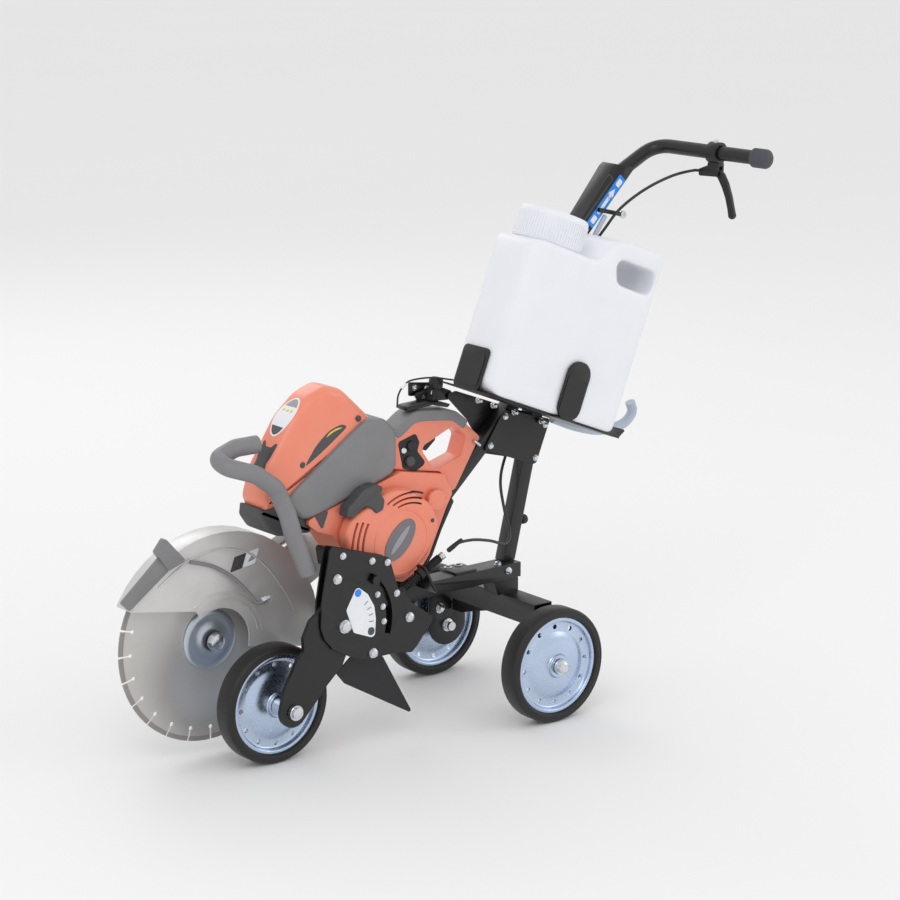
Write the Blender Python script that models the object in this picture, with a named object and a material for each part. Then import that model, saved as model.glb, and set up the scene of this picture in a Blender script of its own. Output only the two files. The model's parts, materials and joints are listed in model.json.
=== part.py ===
"""Walk-behind concrete saw: a hand-held cut-off saw clamped on a three-wheeled cart.

Frame: metres, +Z up, floor at z = 0. +X points back to the operator, -Y is the machine's left.
Outlines are written in millimetres and drawn in the XZ plane, measured from the front axle.
"""
import math

import bmesh
import bpy
from mathutils import Matrix, Vector

MM = 0.001

# ---- fits -------------------------------------------------------------------------------------
GAP = 0.3           # between faces that are bolted or welded together
RUN = 0.4           # radial room round a shaft that turns
WELD = 0.5          # how far a welded piece runs into its neighbour
WHEEL_SEG = 32
SEG = 24            # facets round a turned piece

# ---- wheels -----------------------------------------------------------------------------------
TYRE_R = 101.5
RIM_R = TYRE_R - 16.5
WHEEL_W = 40.0
HUB_R = 20.0
AXLE_R = 8.0
WEB_HOLES = 12
WEB_HOLE_R = 3.2
WEB_HOLE_AT = RIM_R - 17.0
FRONT_WHEEL_Y = 20.0
REAR_X = 499.0
REAR_LEFT_Y = -110.0
REAR_RIGHT_Y = 226.0

# ---- depth linkage ----------------------------------------------------------------------------
PIVOT = (100.6, 230.5)
PLATE_NEAR_Y = -48.0
PLATE_T = 3.5
PLATE_SPACE = 13.0
ARM_T = 8.0
PIVOT_BOLT_R = 7.0
SIDE_BOLT_R = 5.0
SLOT_R = 93.0
SLOT_W = 11.0
SECTOR_R = 104.0
SECTOR_IN_R = 88.5
PIN_R = 5.0
PIN_AT = math.radians(48.7)
LOCK_R = 4.6
LOCK_LEN = 126.0
LOCK_AT = math.radians(14.2)
LOCK_TILT = math.radians(26.6)
PULL = 10.0         # travel of the lock plunger

# ---- frame ------------------------------------------------------------------------------------
TUBE = 25.0
TUBE_WALL = 2.5
MAST_Y = 30.0
MAST_FOOT_X = 508.5
MAST_TOP_Z = 800.0
MAST_LEAN = 0.2456
CHASSIS_TOP = 256.0
CHASSIS_H = 26.0
CHASSIS_W = 40.0
CHASSIS_X = (214.0, 520.0)
BEAM_SIZE = 40.0
BEAM_TOP = 204.0
BEAM_Y = (-85.0, 180.0)
MAIN_SLOPE = math.radians(42.5)
MAIN_START = (366.0, 394.0)
MAIN_CLEAR = 3.1    # between the tube's end and the mast: the gussets join them

# ---- tank and tray ----------------------------------------------------------------------------
TRAY_AT = (357.0, 600.0)
TRAY_TILT = math.radians(22.0)
TRAY_T = 3.0
TRAY_Y = (-106.0, 11.0)
TANK_L = 312.0
TRAY_LEN = TANK_L + 6.0
TANK_W = 125.0
TANK_FAR_Y = 12.5
TANK_Y = TANK_FAR_Y - TANK_W / 2
TANK_H = 272.0
TANK_REAR_H = 322.0
TANK_CORNER = 34.0
CAP_R = 61.5
CAP_H = 56.0
NECK_R = 52.0
CAP_AT = 76.0

# ---- handle -----------------------------------------------------------------------------------
BAR_R = 12.5
BAR_FOOT = (750.0, 30.0, 908.0)
BAR_BEND = (849.0, 30.0, 957.0)
BAR_END = (889.0, -206.0, 954.0)
GRIP_R = 17.0
LEVER_AT = 0.56

# ---- saw --------------------------------------------------------------------------------------
BLADE_R = 176.0
BLADE_T = 3.2
BLADE_AT = (-58.0, 200.0)
BLADE_Y = 120.0
BLADE_SLOTS = 24
SLOT_DEPTH = 22.0
ARBOR_R = 12.7
FLANGE_R = 51.5
GUARD_Y = (86.0, 133.0)
GUARD_T = 3.0
GUARD_R = 199.0
CRANK_AT = (256.0, 342.0)
PULLEY_R = 42.0
CLUTCH_R = 24.0
BELT_T = 5.0
BELT_W = 14.0
BELT_SLACK = 0.8
ARM_Y = (134.0, 146.0)
BELT_Y = 157.0
COVER_Y = (146.3, 178.0)
ENGINE_Y = (6.0, 82.0)
STARTER_Y = (-22.0, 5.6)
HANDLE_Y = (16.0, 56.0)
HANDLE_TUBE_R = 15.0

# ---- colours ----------------------------------------------------------------------------------
COLOURS = {
    "frame": (0.012, 0.012, 0.014, 1.0),
    "orange": (0.84, 0.22, 0.13, 1.0),
    "grey": (0.24, 0.24, 0.25, 1.0),
    "alloy": (0.56, 0.55, 0.53, 1.0),
    "steel": (0.45, 0.46, 0.47, 1.0),
    "zinc": (0.55, 0.55, 0.52, 1.0),
    "rubber": (0.015, 0.015, 0.016, 1.0),
    "plastic": (0.02, 0.02, 0.022, 1.0),
    "tank": (0.86, 0.87, 0.90, 1.0),
}


# ================================ drawing helpers ==============================================
def clear_scene():
    for obj in list(bpy.data.objects):
        bpy.data.objects.remove(obj, do_unlink=True)


def material(slot):
    """Return the material of a slot, made the first time it is asked for."""
    found = bpy.data.materials.get(slot)
    if found:
        return found
    made = bpy.data.materials.new(slot)
    made.use_nodes = True
    shader = made.node_tree.nodes["Principled BSDF"]
    shader.inputs["Base Color"].default_value = COLOURS[slot]
    shader.inputs["Metallic"].default_value = 1.0 if slot in ("steel", "zinc", "alloy") else 0.0
    shader.inputs["Roughness"].default_value = 0.45
    return made


def add(name, bm, slot, smooth=True, origin=None):
    """Turn a bmesh drawn in millimetres into an object in metres."""
    bmesh.ops.remove_doubles(bm, verts=bm.verts, dist=0.0005)
    bmesh.ops.recalc_face_normals(bm, faces=bm.faces)
    for face in bm.faces:
        face.smooth = smooth
    mesh = bpy.data.meshes.new(name)
    bm.to_mesh(mesh)
    bm.free()
    mesh.transform(Matrix.Scale(MM, 4))
    obj = bpy.data.objects.new(name, mesh)
    bpy.context.scene.collection.objects.link(obj)
    mesh.materials.append(material(slot))
    if origin is not None:
        at = Vector(origin) * MM
        mesh.transform(Matrix.Translation(-at))
        obj.location = at
    return obj


def circle(cx, cz, r, n=14):
    return [(cx + r * math.cos(2 * math.pi * i / n), cz + r * math.sin(2 * math.pi * i / n))
            for i in range(n)]


def arc(cx, cz, r, start, end, n):
    """Points on an arc, angles in degrees."""
    step = math.radians(end - start) / n
    first = math.radians(start)
    return [(cx + r * math.cos(first + step * i), cz + r * math.sin(first + step * i))
            for i in range(n + 1)]


def rounded(points, radius, n=3):
    """Round each corner of a closed outline with an arc of the radius, as far as it fits."""
    out = []
    count = len(points)
    for i, here in enumerate(points):
        p = Vector(here)
        to_last = Vector(points[i - 1]) - p
        to_next = Vector(points[(i + 1) % count]) - p
        half = to_last.angle(to_next) / 2
        if half > math.radians(86):
            out.append(tuple(p))
            continue
        room = 0.45 * min(to_last.length, to_next.length)
        cut = min(radius / math.tan(half), room)
        r = cut * math.tan(half)
        centre = p + (to_last.normalized() + to_next.normalized()).normalized() * (r / math.sin(half))
        a = p + to_last.normalized() * cut - centre
        b = p + to_next.normalized() * cut - centre
        turn = a.angle_signed(b)
        for k in range(n + 1):
            out.append(tuple(centre + Matrix.Rotation(-turn * k / n, 2) @ a))
    return out


def slot_outline(cx, cz, r, width, start, end, n=10):
    """A curved slot round a centre, with square ends."""
    return (arc(cx, cz, r + width / 2, start, end, n)
            + arc(cx, cz, r - width / 2, end, start, n))


def sheet_bm(loops, origin, u, v, depth):
    """Fill an outline and its holes, given in (u, v), and pull the face along depth."""
    bm = bmesh.new()
    origin, u, v, depth = Vector(origin), Vector(u), Vector(v), Vector(depth)
    edges = []
    for loop in loops:
        verts = [bm.verts.new(origin + u * p[0] + v * p[1]) for p in loop]
        edges += [bm.edges.new((verts[i - 1], verts[i])) for i in range(len(verts))]
    bmesh.ops.triangle_fill(bm, use_beauty=True, use_dissolve=False, edges=edges)
    flat = bm.faces[:]
    pulled = bmesh.ops.extrude_face_region(bm, geom=flat, use_keep_orig=True)
    moved = [g for g in pulled["geom"] if isinstance(g, bmesh.types.BMVert)]
    bmesh.ops.translate(bm, verts=moved, vec=depth)
    return bm


def plate(name, outline, y0, y1, slot, holes=(), origin=None, smooth=False):
    """A flat piece drawn in XZ between two Y values."""
    bm = sheet_bm([outline, *holes], (0, y0, 0), (1, 0, 0), (0, 0, 1), (0, y1 - y0, 0))
    return add(name, bm, slot, smooth, origin)


def box_tube(name, start, along, length, side, up, size, wall, slot):
    """A rectangular tube from start, open at both ends."""
    along, side, up = Vector(along), Vector(side), Vector(up)
    w, h = size
    outer = [(-w / 2, -h / 2), (w / 2, -h / 2), (w / 2, h / 2), (-w / 2, h / 2)]
    inner = [(x * (w - 2 * wall) / w, z * (h - 2 * wall) / h) for x, z in outer]
    bm = sheet_bm([outer, inner], start, side, up, along * length)
    return add(name, bm, slot, False)


def turned(name, profile, centre, slot, axis=(0, 1, 0), n=SEG, origin=None, smooth=True):
    """Turn a profile of (radius, height) points round an axis. A radius of 0 closes the end."""
    axis = Vector(axis).normalized()
    side = axis.orthogonal().normalized()
    other = axis.cross(side)
    centre = Vector(centre)
    bm = bmesh.new()
    rings = []
    for r, h in profile:
        if r == 0:
            rings.append([bm.verts.new(centre + axis * h)])
            continue
        rings.append([bm.verts.new(centre + axis * h + (side * math.cos(2 * math.pi * k / n)
                                                       + other * math.sin(2 * math.pi * k / n)) * r)
                      for k in range(n)])
    closed = profile[0][0] > 0
    for i in range(0 if closed else 1, len(rings)):
        a, b = rings[i - 1], rings[i]
        for k in range(n):
            j = (k + 1) % n
            if len(a) == 1:
                bm.faces.new((a[0], b[k], b[j]))
            elif len(b) == 1:
                bm.faces.new((a[k], a[j], b[0]))
            else:
                bm.faces.new((a[k], a[j], b[j], b[k]))
    obj = add(name, bm, slot, smooth, origin)
    return obj


def helper(obj):
    """Hide a piece that only cuts or joins."""
    obj.hide_render = True
    obj.display_type = "WIRE"
    return obj


def boolean(obj, tool, operation="DIFFERENCE"):
    modifier = obj.modifiers.new(tool.name, "BOOLEAN")
    modifier.operation = operation
    modifier.solver = "EXACT"
    modifier.object = helper(tool)
    return obj


def rod_bm(a, b, r, n=24):
    """A plain round bar between two points."""
    a, b = Vector(a), Vector(b)
    bm = bmesh.new()
    turn = (b - a).to_track_quat("Z", "Y").to_matrix().to_4x4()
    bmesh.ops.create_cone(bm, cap_ends=True, segments=n, radius1=r, radius2=r, depth=(b - a).length,
                          matrix=Matrix.Translation((a + b) / 2) @ turn)
    return bm


def rod(name, a, b, r, slot, n=24, origin=None):
    return add(name, rod_bm(a, b, r, n), slot, True, origin)


def bores(name, spots, y0, y1, r, n=20):
    """A set of round cutters along Y."""
    bm = bmesh.new()
    for x, z in spots:
        bmesh.ops.create_cone(bm, cap_ends=True, segments=n, radius1=r, radius2=r, depth=y1 - y0,
                              matrix=Matrix.Translation((x, (y0 + y1) / 2, z))
                              @ Matrix.Rotation(math.pi / 2, 4, "X"))
    return add(name, bm, "steel")


def soften(obj, width, segments=1, angle=40):
    """Break the edges of a casting or a moulding."""
    modifier = obj.modifiers.new("edges", "BEVEL")
    modifier.width = width * MM
    modifier.segments = segments
    modifier.limit_method = "ANGLE"
    modifier.angle_limit = math.radians(angle)
    modifier.use_clamp_overlap = True
    return obj


def route(knots, step):
    """A smooth line through the knots, with a point about every step."""
    pts = [Vector(k) for k in knots]
    pts = [pts[0] * 2 - pts[1]] + pts + [pts[-1] * 2 - pts[-2]]
    out = []
    for i in range(1, len(pts) - 2):
        a, b, c, d = pts[i - 1:i + 3]
        count = max(2, round((c - b).length / step))
        for k in range(count):
            t = k / count
            out.append(0.5 * (2 * b + (c - a) * t + (2 * a - 5 * b + 4 * c - d) * t * t
                              + (3 * b - a - 3 * c + d) * t ** 3))
    return out + [pts[-2]]


def bent(corners, radius, n=6):
    """A line through corners, each rounded by an arc of the radius."""
    pts = [Vector(c) for c in corners]
    out = [pts[0]]
    for last, p, following in zip(pts, pts[1:], pts[2:]):
        u, v = (last - p).normalized(), (following - p).normalized()
        half = u.angle(v) / 2
        cut = min(radius / math.tan(half), 0.48 * (last - p).length, 0.48 * (following - p).length)
        for k in range(n + 1):
            t = k / n
            a = p + u * cut
            b = p + v * cut
            out.append(a * (1 - t) ** 2 + p * 2 * t * (1 - t) + b * t * t)
    return out + [pts[-1]]


def tube(name, points, radius, slot, resolution=3, origin=None):
    """A round bar or a cable along a line, with closed ends."""
    curve = bpy.data.curves.new(name, "CURVE")
    curve.dimensions = "3D"
    curve.bevel_depth = radius * MM
    curve.bevel_resolution = resolution
    curve.use_fill_caps = True
    line = curve.splines.new("POLY")
    line.points.add(len(points) - 1)
    shift = Vector(origin or (0, 0, 0))
    for spot, p in zip(line.points, points):
        spot.co = ((Vector(p) - shift) * MM).to_4d()
    curve.materials.append(material(slot))
    obj = bpy.data.objects.new(name, curve)
    obj.location = shift * MM
    bpy.context.scene.collection.objects.link(obj)
    return obj


def bolt(name, x, z, y_head, y_end, r, slot="zinc", head_r=None, nut=0.0, sleeve=()):
    """A bolt along +Y: a hexagon head before y_head, and a nut after y_end when nut is given."""
    head = head_r or r * 1.75
    profile = [(0, y_head - 1.1 * r), (head, y_head - 1.1 * r), (head, y_head), (r, y_head)]
    if sleeve:
        s0, s1, sr = sleeve
        profile += [(r, s0), (sr, s0), (sr, s1), (r, s1)]
    if nut:
        profile += [(r, y_end), (nut, y_end), (nut, y_end + 1.2 * r), (r, y_end + 1.2 * r),
                    (r, y_end + 1.8 * r), (0, y_end + 1.8 * r)]
    else:
        profile += [(r, y_end), (0, y_end)]
    return turned(name, profile, (x, 0, z), slot, n=12, smooth=False)


# ================================ wheels =======================================================
def wheel(name, x, y, z):
    """A solid rubber tyre on a pressed zinc disc with a bored hub."""
    half = WHEEL_W / 2
    bead = RIM_R + GAP
    tyre = [(bead, -half + 4), (bead + 5, -half), (TYRE_R - 5, -half), (TYRE_R, -half + 7), (TYRE_R, half - 7),
            (TYRE_R - 5, half), (bead + 5, half), (bead, half - 4)]
    turned(name + "_tyre", tyre, (x, y, z), "rubber", n=WHEEL_SEG, origin=(x, y, z))
    bore = AXLE_R + RUN
    web = 5.0
    dish, flat, lip = RIM_R - 24, RIM_R - 10, RIM_R - 7
    rim = [(bore, -half), (HUB_R, -half), (HUB_R + 3, -half + 5), (RIM_R - 31, -half + 9), (dish, -half + 13),
           (flat, -half + 13), (lip, -half + 5), (RIM_R, -half + 5), (RIM_R, half - 5), (lip, half - 5),
           (flat, -half + 13 + web), (dish, -half + 13 + web), (HUB_R, -half + 9 + 2 * web), (HUB_R, half - 2),
           (bore, half - 2)]
    disc = turned(name + "_rim", rim, (x, y, z), "zinc", n=WHEEL_SEG, origin=(x, y, z))
    spots = [(x + WEB_HOLE_AT * math.cos(2 * math.pi * k / WEB_HOLES),
              z + WEB_HOLE_AT * math.sin(2 * math.pi * k / WEB_HOLES)) for k in range(WEB_HOLES)]
    boolean(disc, bores(name + "_web_cut", spots, y - half, y + half, WEB_HOLE_R, 6))


def axle(name, x, y0, y1, z, cap):
    """An axle bolt along Y: the wide round cap is at the end given as 'left' or 'right'."""
    left = [(0, y0 - 7), (13, y0 - 6), (13, y0), (AXLE_R, y0)]
    right = [(AXLE_R, y1), (13, y1), (13, y1 + 6), (0, y1 + 7)]
    if cap == "left":
        profile = left + [(AXLE_R, y1), (0, y1)]
    else:
        profile = [(0, y0), (AXLE_R, y0)] + right
    turned(name, profile, (x, 0, z), "zinc", n=16)


def wheels():
    half = WHEEL_W / 2
    wheel("front", 0, FRONT_WHEEL_Y, TYRE_R)
    wheel("rear_left", REAR_X, REAR_LEFT_Y, TYRE_R)
    wheel("rear_right", REAR_X, REAR_RIGHT_Y, TYRE_R)
    axle("rear_left_axle", REAR_X, REAR_LEFT_Y - half - GAP, -62, TYRE_R, "left")
    axle("rear_right_axle", REAR_X, BEAM_Y[1] - 22, REAR_RIGHT_Y + half + GAP, TYRE_R, "right")


# ================================ depth linkage ================================================
def side_outline():
    return rounded([(73, 372), (194, 333), (212, 277), (241, 246), (289, 210), (254, 169), (241, 158),
                    (207, 164), (164, 164), (140, 165), (114, 174), (77, 195), (60, 215), (52, 236),
                    (55, 277)], 7, 4)


TOP_BOLT = (86.0, 314.5)
LOW_BOLT = (159.0, 173.0)
TAIL_BOLT = (236.0, 221.0)
SADDLE_BOLTS = ((98.0, 352.0), (158.0, 333.0))
STRIP_BOLTS = ((190.0, 325.0), (209.0, 268.0))


def linkage():
    """The two side plates, the depth arm that swings between them and its bolts."""
    y0 = PLATE_NEAR_Y
    y1 = y0 + PLATE_T
    y2 = y1 + PLATE_SPACE
    y3 = y2 + PLATE_T
    px, pz = PIVOT
    big = [circle(*TOP_BOLT, SIDE_BOLT_R + RUN), circle(*LOW_BOLT, SIDE_BOLT_R + RUN),
           circle(*TAIL_BOLT, SIDE_BOLT_R + RUN), circle(px, pz, PIVOT_BOLT_R + RUN)]
    window = slot_outline(px, pz, SLOT_R, SLOT_W + 1.6, -18, 56)
    side = plate("side_plate_left", side_outline(), y0, y1, "frame", [*big, window])
    plate("side_plate_right", side_outline(), y2, y3, "frame", big)
    strip = [(181, 336), (193, 332), (212, 278), (203, 278)]
    boolean(side, plate("edge_strip", strip, y1 - WELD, y2 - GAP, "frame"), "UNION")
    inside = (y1 + GAP, y2 - GAP, 9.0)
    bolt("pivot_bolt", px, pz, y0 - GAP, y3 + GAP, PIVOT_BOLT_R, nut=12.0)
    bolt("side_bolt_top", *TOP_BOLT, y0 - GAP, y3 + GAP, SIDE_BOLT_R, nut=8.5, sleeve=inside)
    bolt("side_bolt_low", *LOW_BOLT, y0 - GAP, y3 + 4.5, SIDE_BOLT_R, nut=8.5, sleeve=inside)
    flap = rounded([(98, 144), (115, 123), (251, 44), (255, 47), (196, 153), (168, 184), (150, 184)], 3, 3)
    plate("floor_flap", flap, y3 + GAP, y3 + 3.7, "rubber", [circle(*LOW_BOLT, SIDE_BOLT_R + RUN)])

    # The arm: a leg to the wheel, a boss on the pivot and a toothed rim for the lock.
    arm_y0 = y1 + (PLATE_SPACE - ARM_T) / 2
    arm_y1 = arm_y0 + ARM_T
    leg = ([(51, 115), (63, 129), (87, 150), (99, 160), (120, 205)]
           + [(px + 24, pz + 4)]
           + arc(px, pz, SECTOR_IN_R, 42, 10, 6)
           + arc(px, pz, SECTOR_R, 10, 80, 14)
           + [(px - 6, pz + 80), (52, 262), (35, 250), (21.5, 223.5), (22, 199), (9, 188), (-18.5, 141)]
           + arc(0, TYRE_R, 27, 175, 325, 8))
    pivot_hole = circle(px, pz, PIVOT_BOLT_R + RUN)
    hub_hole = circle(0, TYRE_R, AXLE_R + GAP)
    pin_at = (px + SLOT_R * math.cos(PIN_AT), pz + SLOT_R * math.sin(PIN_AT))
    arm = plate("depth_arm", leg, arm_y0, arm_y1, "frame", [pivot_hole, hub_hole],
                origin=(px, (arm_y0 + arm_y1) / 2, pz))
    notches = [(px + (SECTOR_R + 3) * math.cos(math.radians(a)),
                pz + (SECTOR_R + 3) * math.sin(math.radians(a))) for a in (14.2, 29.2, 44.2, 59.2, 74.2)]
    boolean(arm, bores("notch_cut", notches, arm_y0 - 3, arm_y1 + 3, 6.0))
    profile = [(0, y0 - 8), (8, y0 - 8), (8, y0 - GAP), (PIN_R, y0 - GAP), (PIN_R, arm_y1 + 1),
               (0, arm_y1 + 1)]
    boolean(arm, turned("scale_pin", profile, (pin_at[0], 0, pin_at[1]), "zinc", n=20), "UNION")
    half = WHEEL_W / 2
    wheel_y0 = FRONT_WHEEL_Y - half
    profile = [(0, arm_y0 - 9), (13, arm_y0 - 8), (13, arm_y0 - GAP), (AXLE_R, arm_y0 - GAP),
               (AXLE_R, arm_y1 + GAP), (16, arm_y1 + GAP), (16, wheel_y0 - 1), (AXLE_R, wheel_y0 - 1),
               (AXLE_R, wheel_y0 + WHEEL_W + GAP), (13, wheel_y0 + WHEEL_W + GAP),
               (13, wheel_y0 + WHEEL_W + 7), (0, wheel_y0 + WHEEL_W + 8)]
    turned("front_axle", profile, (0, 0, TYRE_R), "zinc", n=16)

    # The lock: a plunger in a threaded body that points at the arm's rim.
    along = Vector((math.cos(LOCK_TILT), 0, math.sin(LOCK_TILT)))
    mid_y = (arm_y0 + arm_y1) / 2
    out = Vector((math.cos(LOCK_AT), 0, math.sin(LOCK_AT)))
    tip = Vector((px, mid_y, pz)) + out * (SECTOR_R + 2.5)
    rod_r = LOCK_R
    bush = rod_r + RUN
    plunger = [(0, 0), (rod_r - 1, 0), (rod_r, 3), (rod_r, 120), (rod_r + 1.8, 120), (rod_r + 1.8, LOCK_LEN),
               (0, LOCK_LEN)]
    turned("lock_plunger", plunger, tip, "zinc", axis=along, n=20, origin=tip)
    body = [(bush, 12), (6.0, 12), (6.0, 66), (10.5, 66), (10.5, 76), (7.5, 76), (7.5, 116), (bush, 116)]
    turned("plunger_body", body, tip, "zinc", axis=along, n=24)
    helix = []
    turns = 7
    side = along.orthogonal().normalized()
    other = along.cross(side)
    steps = 9
    for k in range(turns * steps + 1):
        a = 2 * math.pi * k / steps
        helix.append(tip + along * (31 + 33 * k / (turns * steps)) + (side * math.cos(a) + other * math.sin(a)) * 7.6)
    tube("plunger_spring", helix, 0.9, "steel", 1)
    return tip, along


# ================================ frame ========================================================
def mast_x(z):
    return MAST_FOOT_X + (z - CHASSIS_TOP) * MAST_LEAN


def main_axis():
    return Vector((math.cos(MAIN_SLOPE), 0, math.sin(MAIN_SLOPE)))


def main_length():
    """Length at which the lower corner of the main tube stops short of the mast."""
    along = main_axis()
    half = TUBE / 2
    corner_x = MAIN_START[0] + half * along.z
    corner_z = MAIN_START[1] - half * along.x
    face_x = mast_x(corner_z) - half * math.sqrt(1 + MAST_LEAN ** 2) - MAIN_CLEAR
    return (face_x - corner_x) / (along.x - MAST_LEAN * along.z)


def frame(tip, lock_along):
    """The welded cart: chassis, axle beam, mast, main tube and their plates."""
    top = CHASSIS_TOP
    mid_y = CHASSIS_W / 2
    x0, x1 = CHASSIS_X
    chassis = box_tube("chassis_beam", (x0, mid_y, top - CHASSIS_H / 2), (1, 0, 0), x1 - x0, (0, 1, 0), (0, 0, 1),
             (CHASSIS_W, CHASSIS_H), 3.0, "frame")
    inside = PLATE_NEAR_Y + 2 * PLATE_T + PLATE_SPACE
    tail = rounded([(216, 250), (285, 214), (254, 176), (220, 176)], 6, 3)
    boolean(chassis, plate("tail_block", tail, inside + GAP, WELD, "frame"), "UNION")
    saddle = rounded([(80, 364), (138, 346), (134, 314), (86, 329)], 5, 4)
    plate("front_saddle", saddle, inside + GAP, ENGINE_Y[0] - GAP, "frame")
    beam_mid = (BEAM_Y[0] + BEAM_Y[1]) / 2
    axle = box_tube("axle_frame", (REAR_X, BEAM_Y[0], BEAM_TOP - BEAM_SIZE / 2), (0, 1, 0), BEAM_Y[1] - BEAM_Y[0],
             (1, 0, 0), (0, 0, 1), (BEAM_SIZE, BEAM_SIZE), 3.0, "frame")
    foot = rounded([(470, BEAM_TOP - WELD), (516, BEAM_TOP - WELD), (516, top - CHASSIS_H - GAP),
                    (462, top - CHASSIS_H - GAP)], 3, 3)
    boolean(axle, plate("axle_bracket", foot, 2, CHASSIS_W - 2, "frame"), "UNION")
    under = BEAM_TOP - BEAM_SIZE + WELD
    carrier = [(-62, under), (-62, 150), (10, 158), (35, 159), (80, 150), (120, 139), (150, 130), (176, 130),
               (176, under)]
    bm = sheet_bm([carrier], (REAR_X + 8, 0, 0), (0, 1, 0), (0, 0, 1), (4, 0, 0))
    boolean(axle, add("carrier_plate", bm, "frame", False), "UNION")
    dee = ([(REAR_X - 41, BEAM_TOP - 18), (REAR_X - 41, 120)]
           + arc(REAR_X, TYRE_R + 4, 41, 190, 350, 12) + [(REAR_X + 41, 120), (REAR_X + 41, BEAM_TOP - 18)])
    hole = [circle(REAR_X, TYRE_R, AXLE_R + GAP), circle(REAR_X - 18, 136, 4.4), circle(REAR_X + 18, 136, 4.4)]
    left = plate("axle_plate_left", dee, BEAM_Y[0] - 3.6, BEAM_Y[0] + WELD, "frame", hole)
    right = plate("axle_plate_right", dee, BEAM_Y[1] - WELD, BEAM_Y[1] + 4, "frame", hole)
    boolean(axle, left, "UNION")
    boolean(axle, right, "UNION")

    # Mast: cut flat on the chassis and flat under the handle column.
    half = TUBE / 2
    flare = math.sqrt(1 + MAST_LEAN ** 2)
    rise = MAST_TOP_Z - top - GAP
    w, t = half * flare, TUBE_WALL
    outer = [(-w, -half), (w, -half), (w, half), (-w, half)]
    inner = [(-w + t, -half + t), (w - t, -half + t), (w - t, half - t), (-w + t, half - t)]
    bm = sheet_bm([outer, inner], (MAST_FOOT_X, MAST_Y, top + GAP), (1, 0, 0), (0, 1, 0),
                  (rise * MAST_LEAN, 0, rise))
    add("mast", bm, "frame", False)
    along = main_axis()
    up = Vector((-along.z, 0, along.x))
    start = Vector((MAIN_START[0], MAST_Y, MAIN_START[1]))
    main_tube = box_tube("main_tube", start, along, main_length(), (0, 1, 0), up, (TUBE, TUBE), TUBE_WALL, "frame")
    near = rounded([(493, 531), (597, 499), (566, 425), (558, 423), (448, 466)], 5, 4)
    y = MAST_Y - half
    plate("gusset_left", near, y - GAP - 3.5, y - GAP, "frame")
    y = MAST_Y + half
    far = rounded([(386, 566), (410, 570), (521, 527), (597, 499), (566, 425), (465, 452), (456, 480), (434, 516)],
                  5, 4)
    plate("gusset_right", far, y + GAP, y + GAP + 4, "frame")
    tab = rounded([(377, 0), (425, 0), (425, 48), (377, 48)], 4, 4)
    bm = sheet_bm([tab, circle(389, 40, 4.5), circle(412, 40, 4.5)], (0, 3, top - WELD), (1, 0, 0), (0, 1, 0),
                  (0, 0, 4 + WELD))
    boolean(chassis, add("tab_plate", bm, "frame", False), "UNION")
    up = Vector((-lock_along.z, 0, lock_along.x))
    seat = tip + lock_along * (76 + GAP)
    lug = rounded([(-12, -43), (4 - tip.y, -43), (4 - tip.y, -26), (12, -8), (12, 12), (-12, 12)], 3, 3)
    bm = sheet_bm([lug, circle(0, 0, 7.5 + GAP)], seat, (0, 1, 0), up, lock_along * 4)
    boolean(chassis, add("lock_lug", bm, "frame", False), "UNION")

    # Cradle: a bent plate that follows the back of the engine down to the chassis.
    inner_line = [(371, 397), (345, 344), (325, 302), (296, 267), (262, 263)]
    outer_line = [(262, 258.5), (299, 262.5), (330, 299), (350, 341), (377, 387)]
    boolean(main_tube, plate("saw_cradle", inner_line + outer_line, 8, 56, "frame"), "UNION")



# ================================ tray and tank ================================================
def tray_axes():
    """Along the tray, down to the rear, and square to it."""
    along = Vector((math.cos(TRAY_TILT), 0, -math.sin(TRAY_TILT)))
    up = Vector((math.sin(TRAY_TILT), 0, math.cos(TRAY_TILT)))
    return along, up


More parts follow.
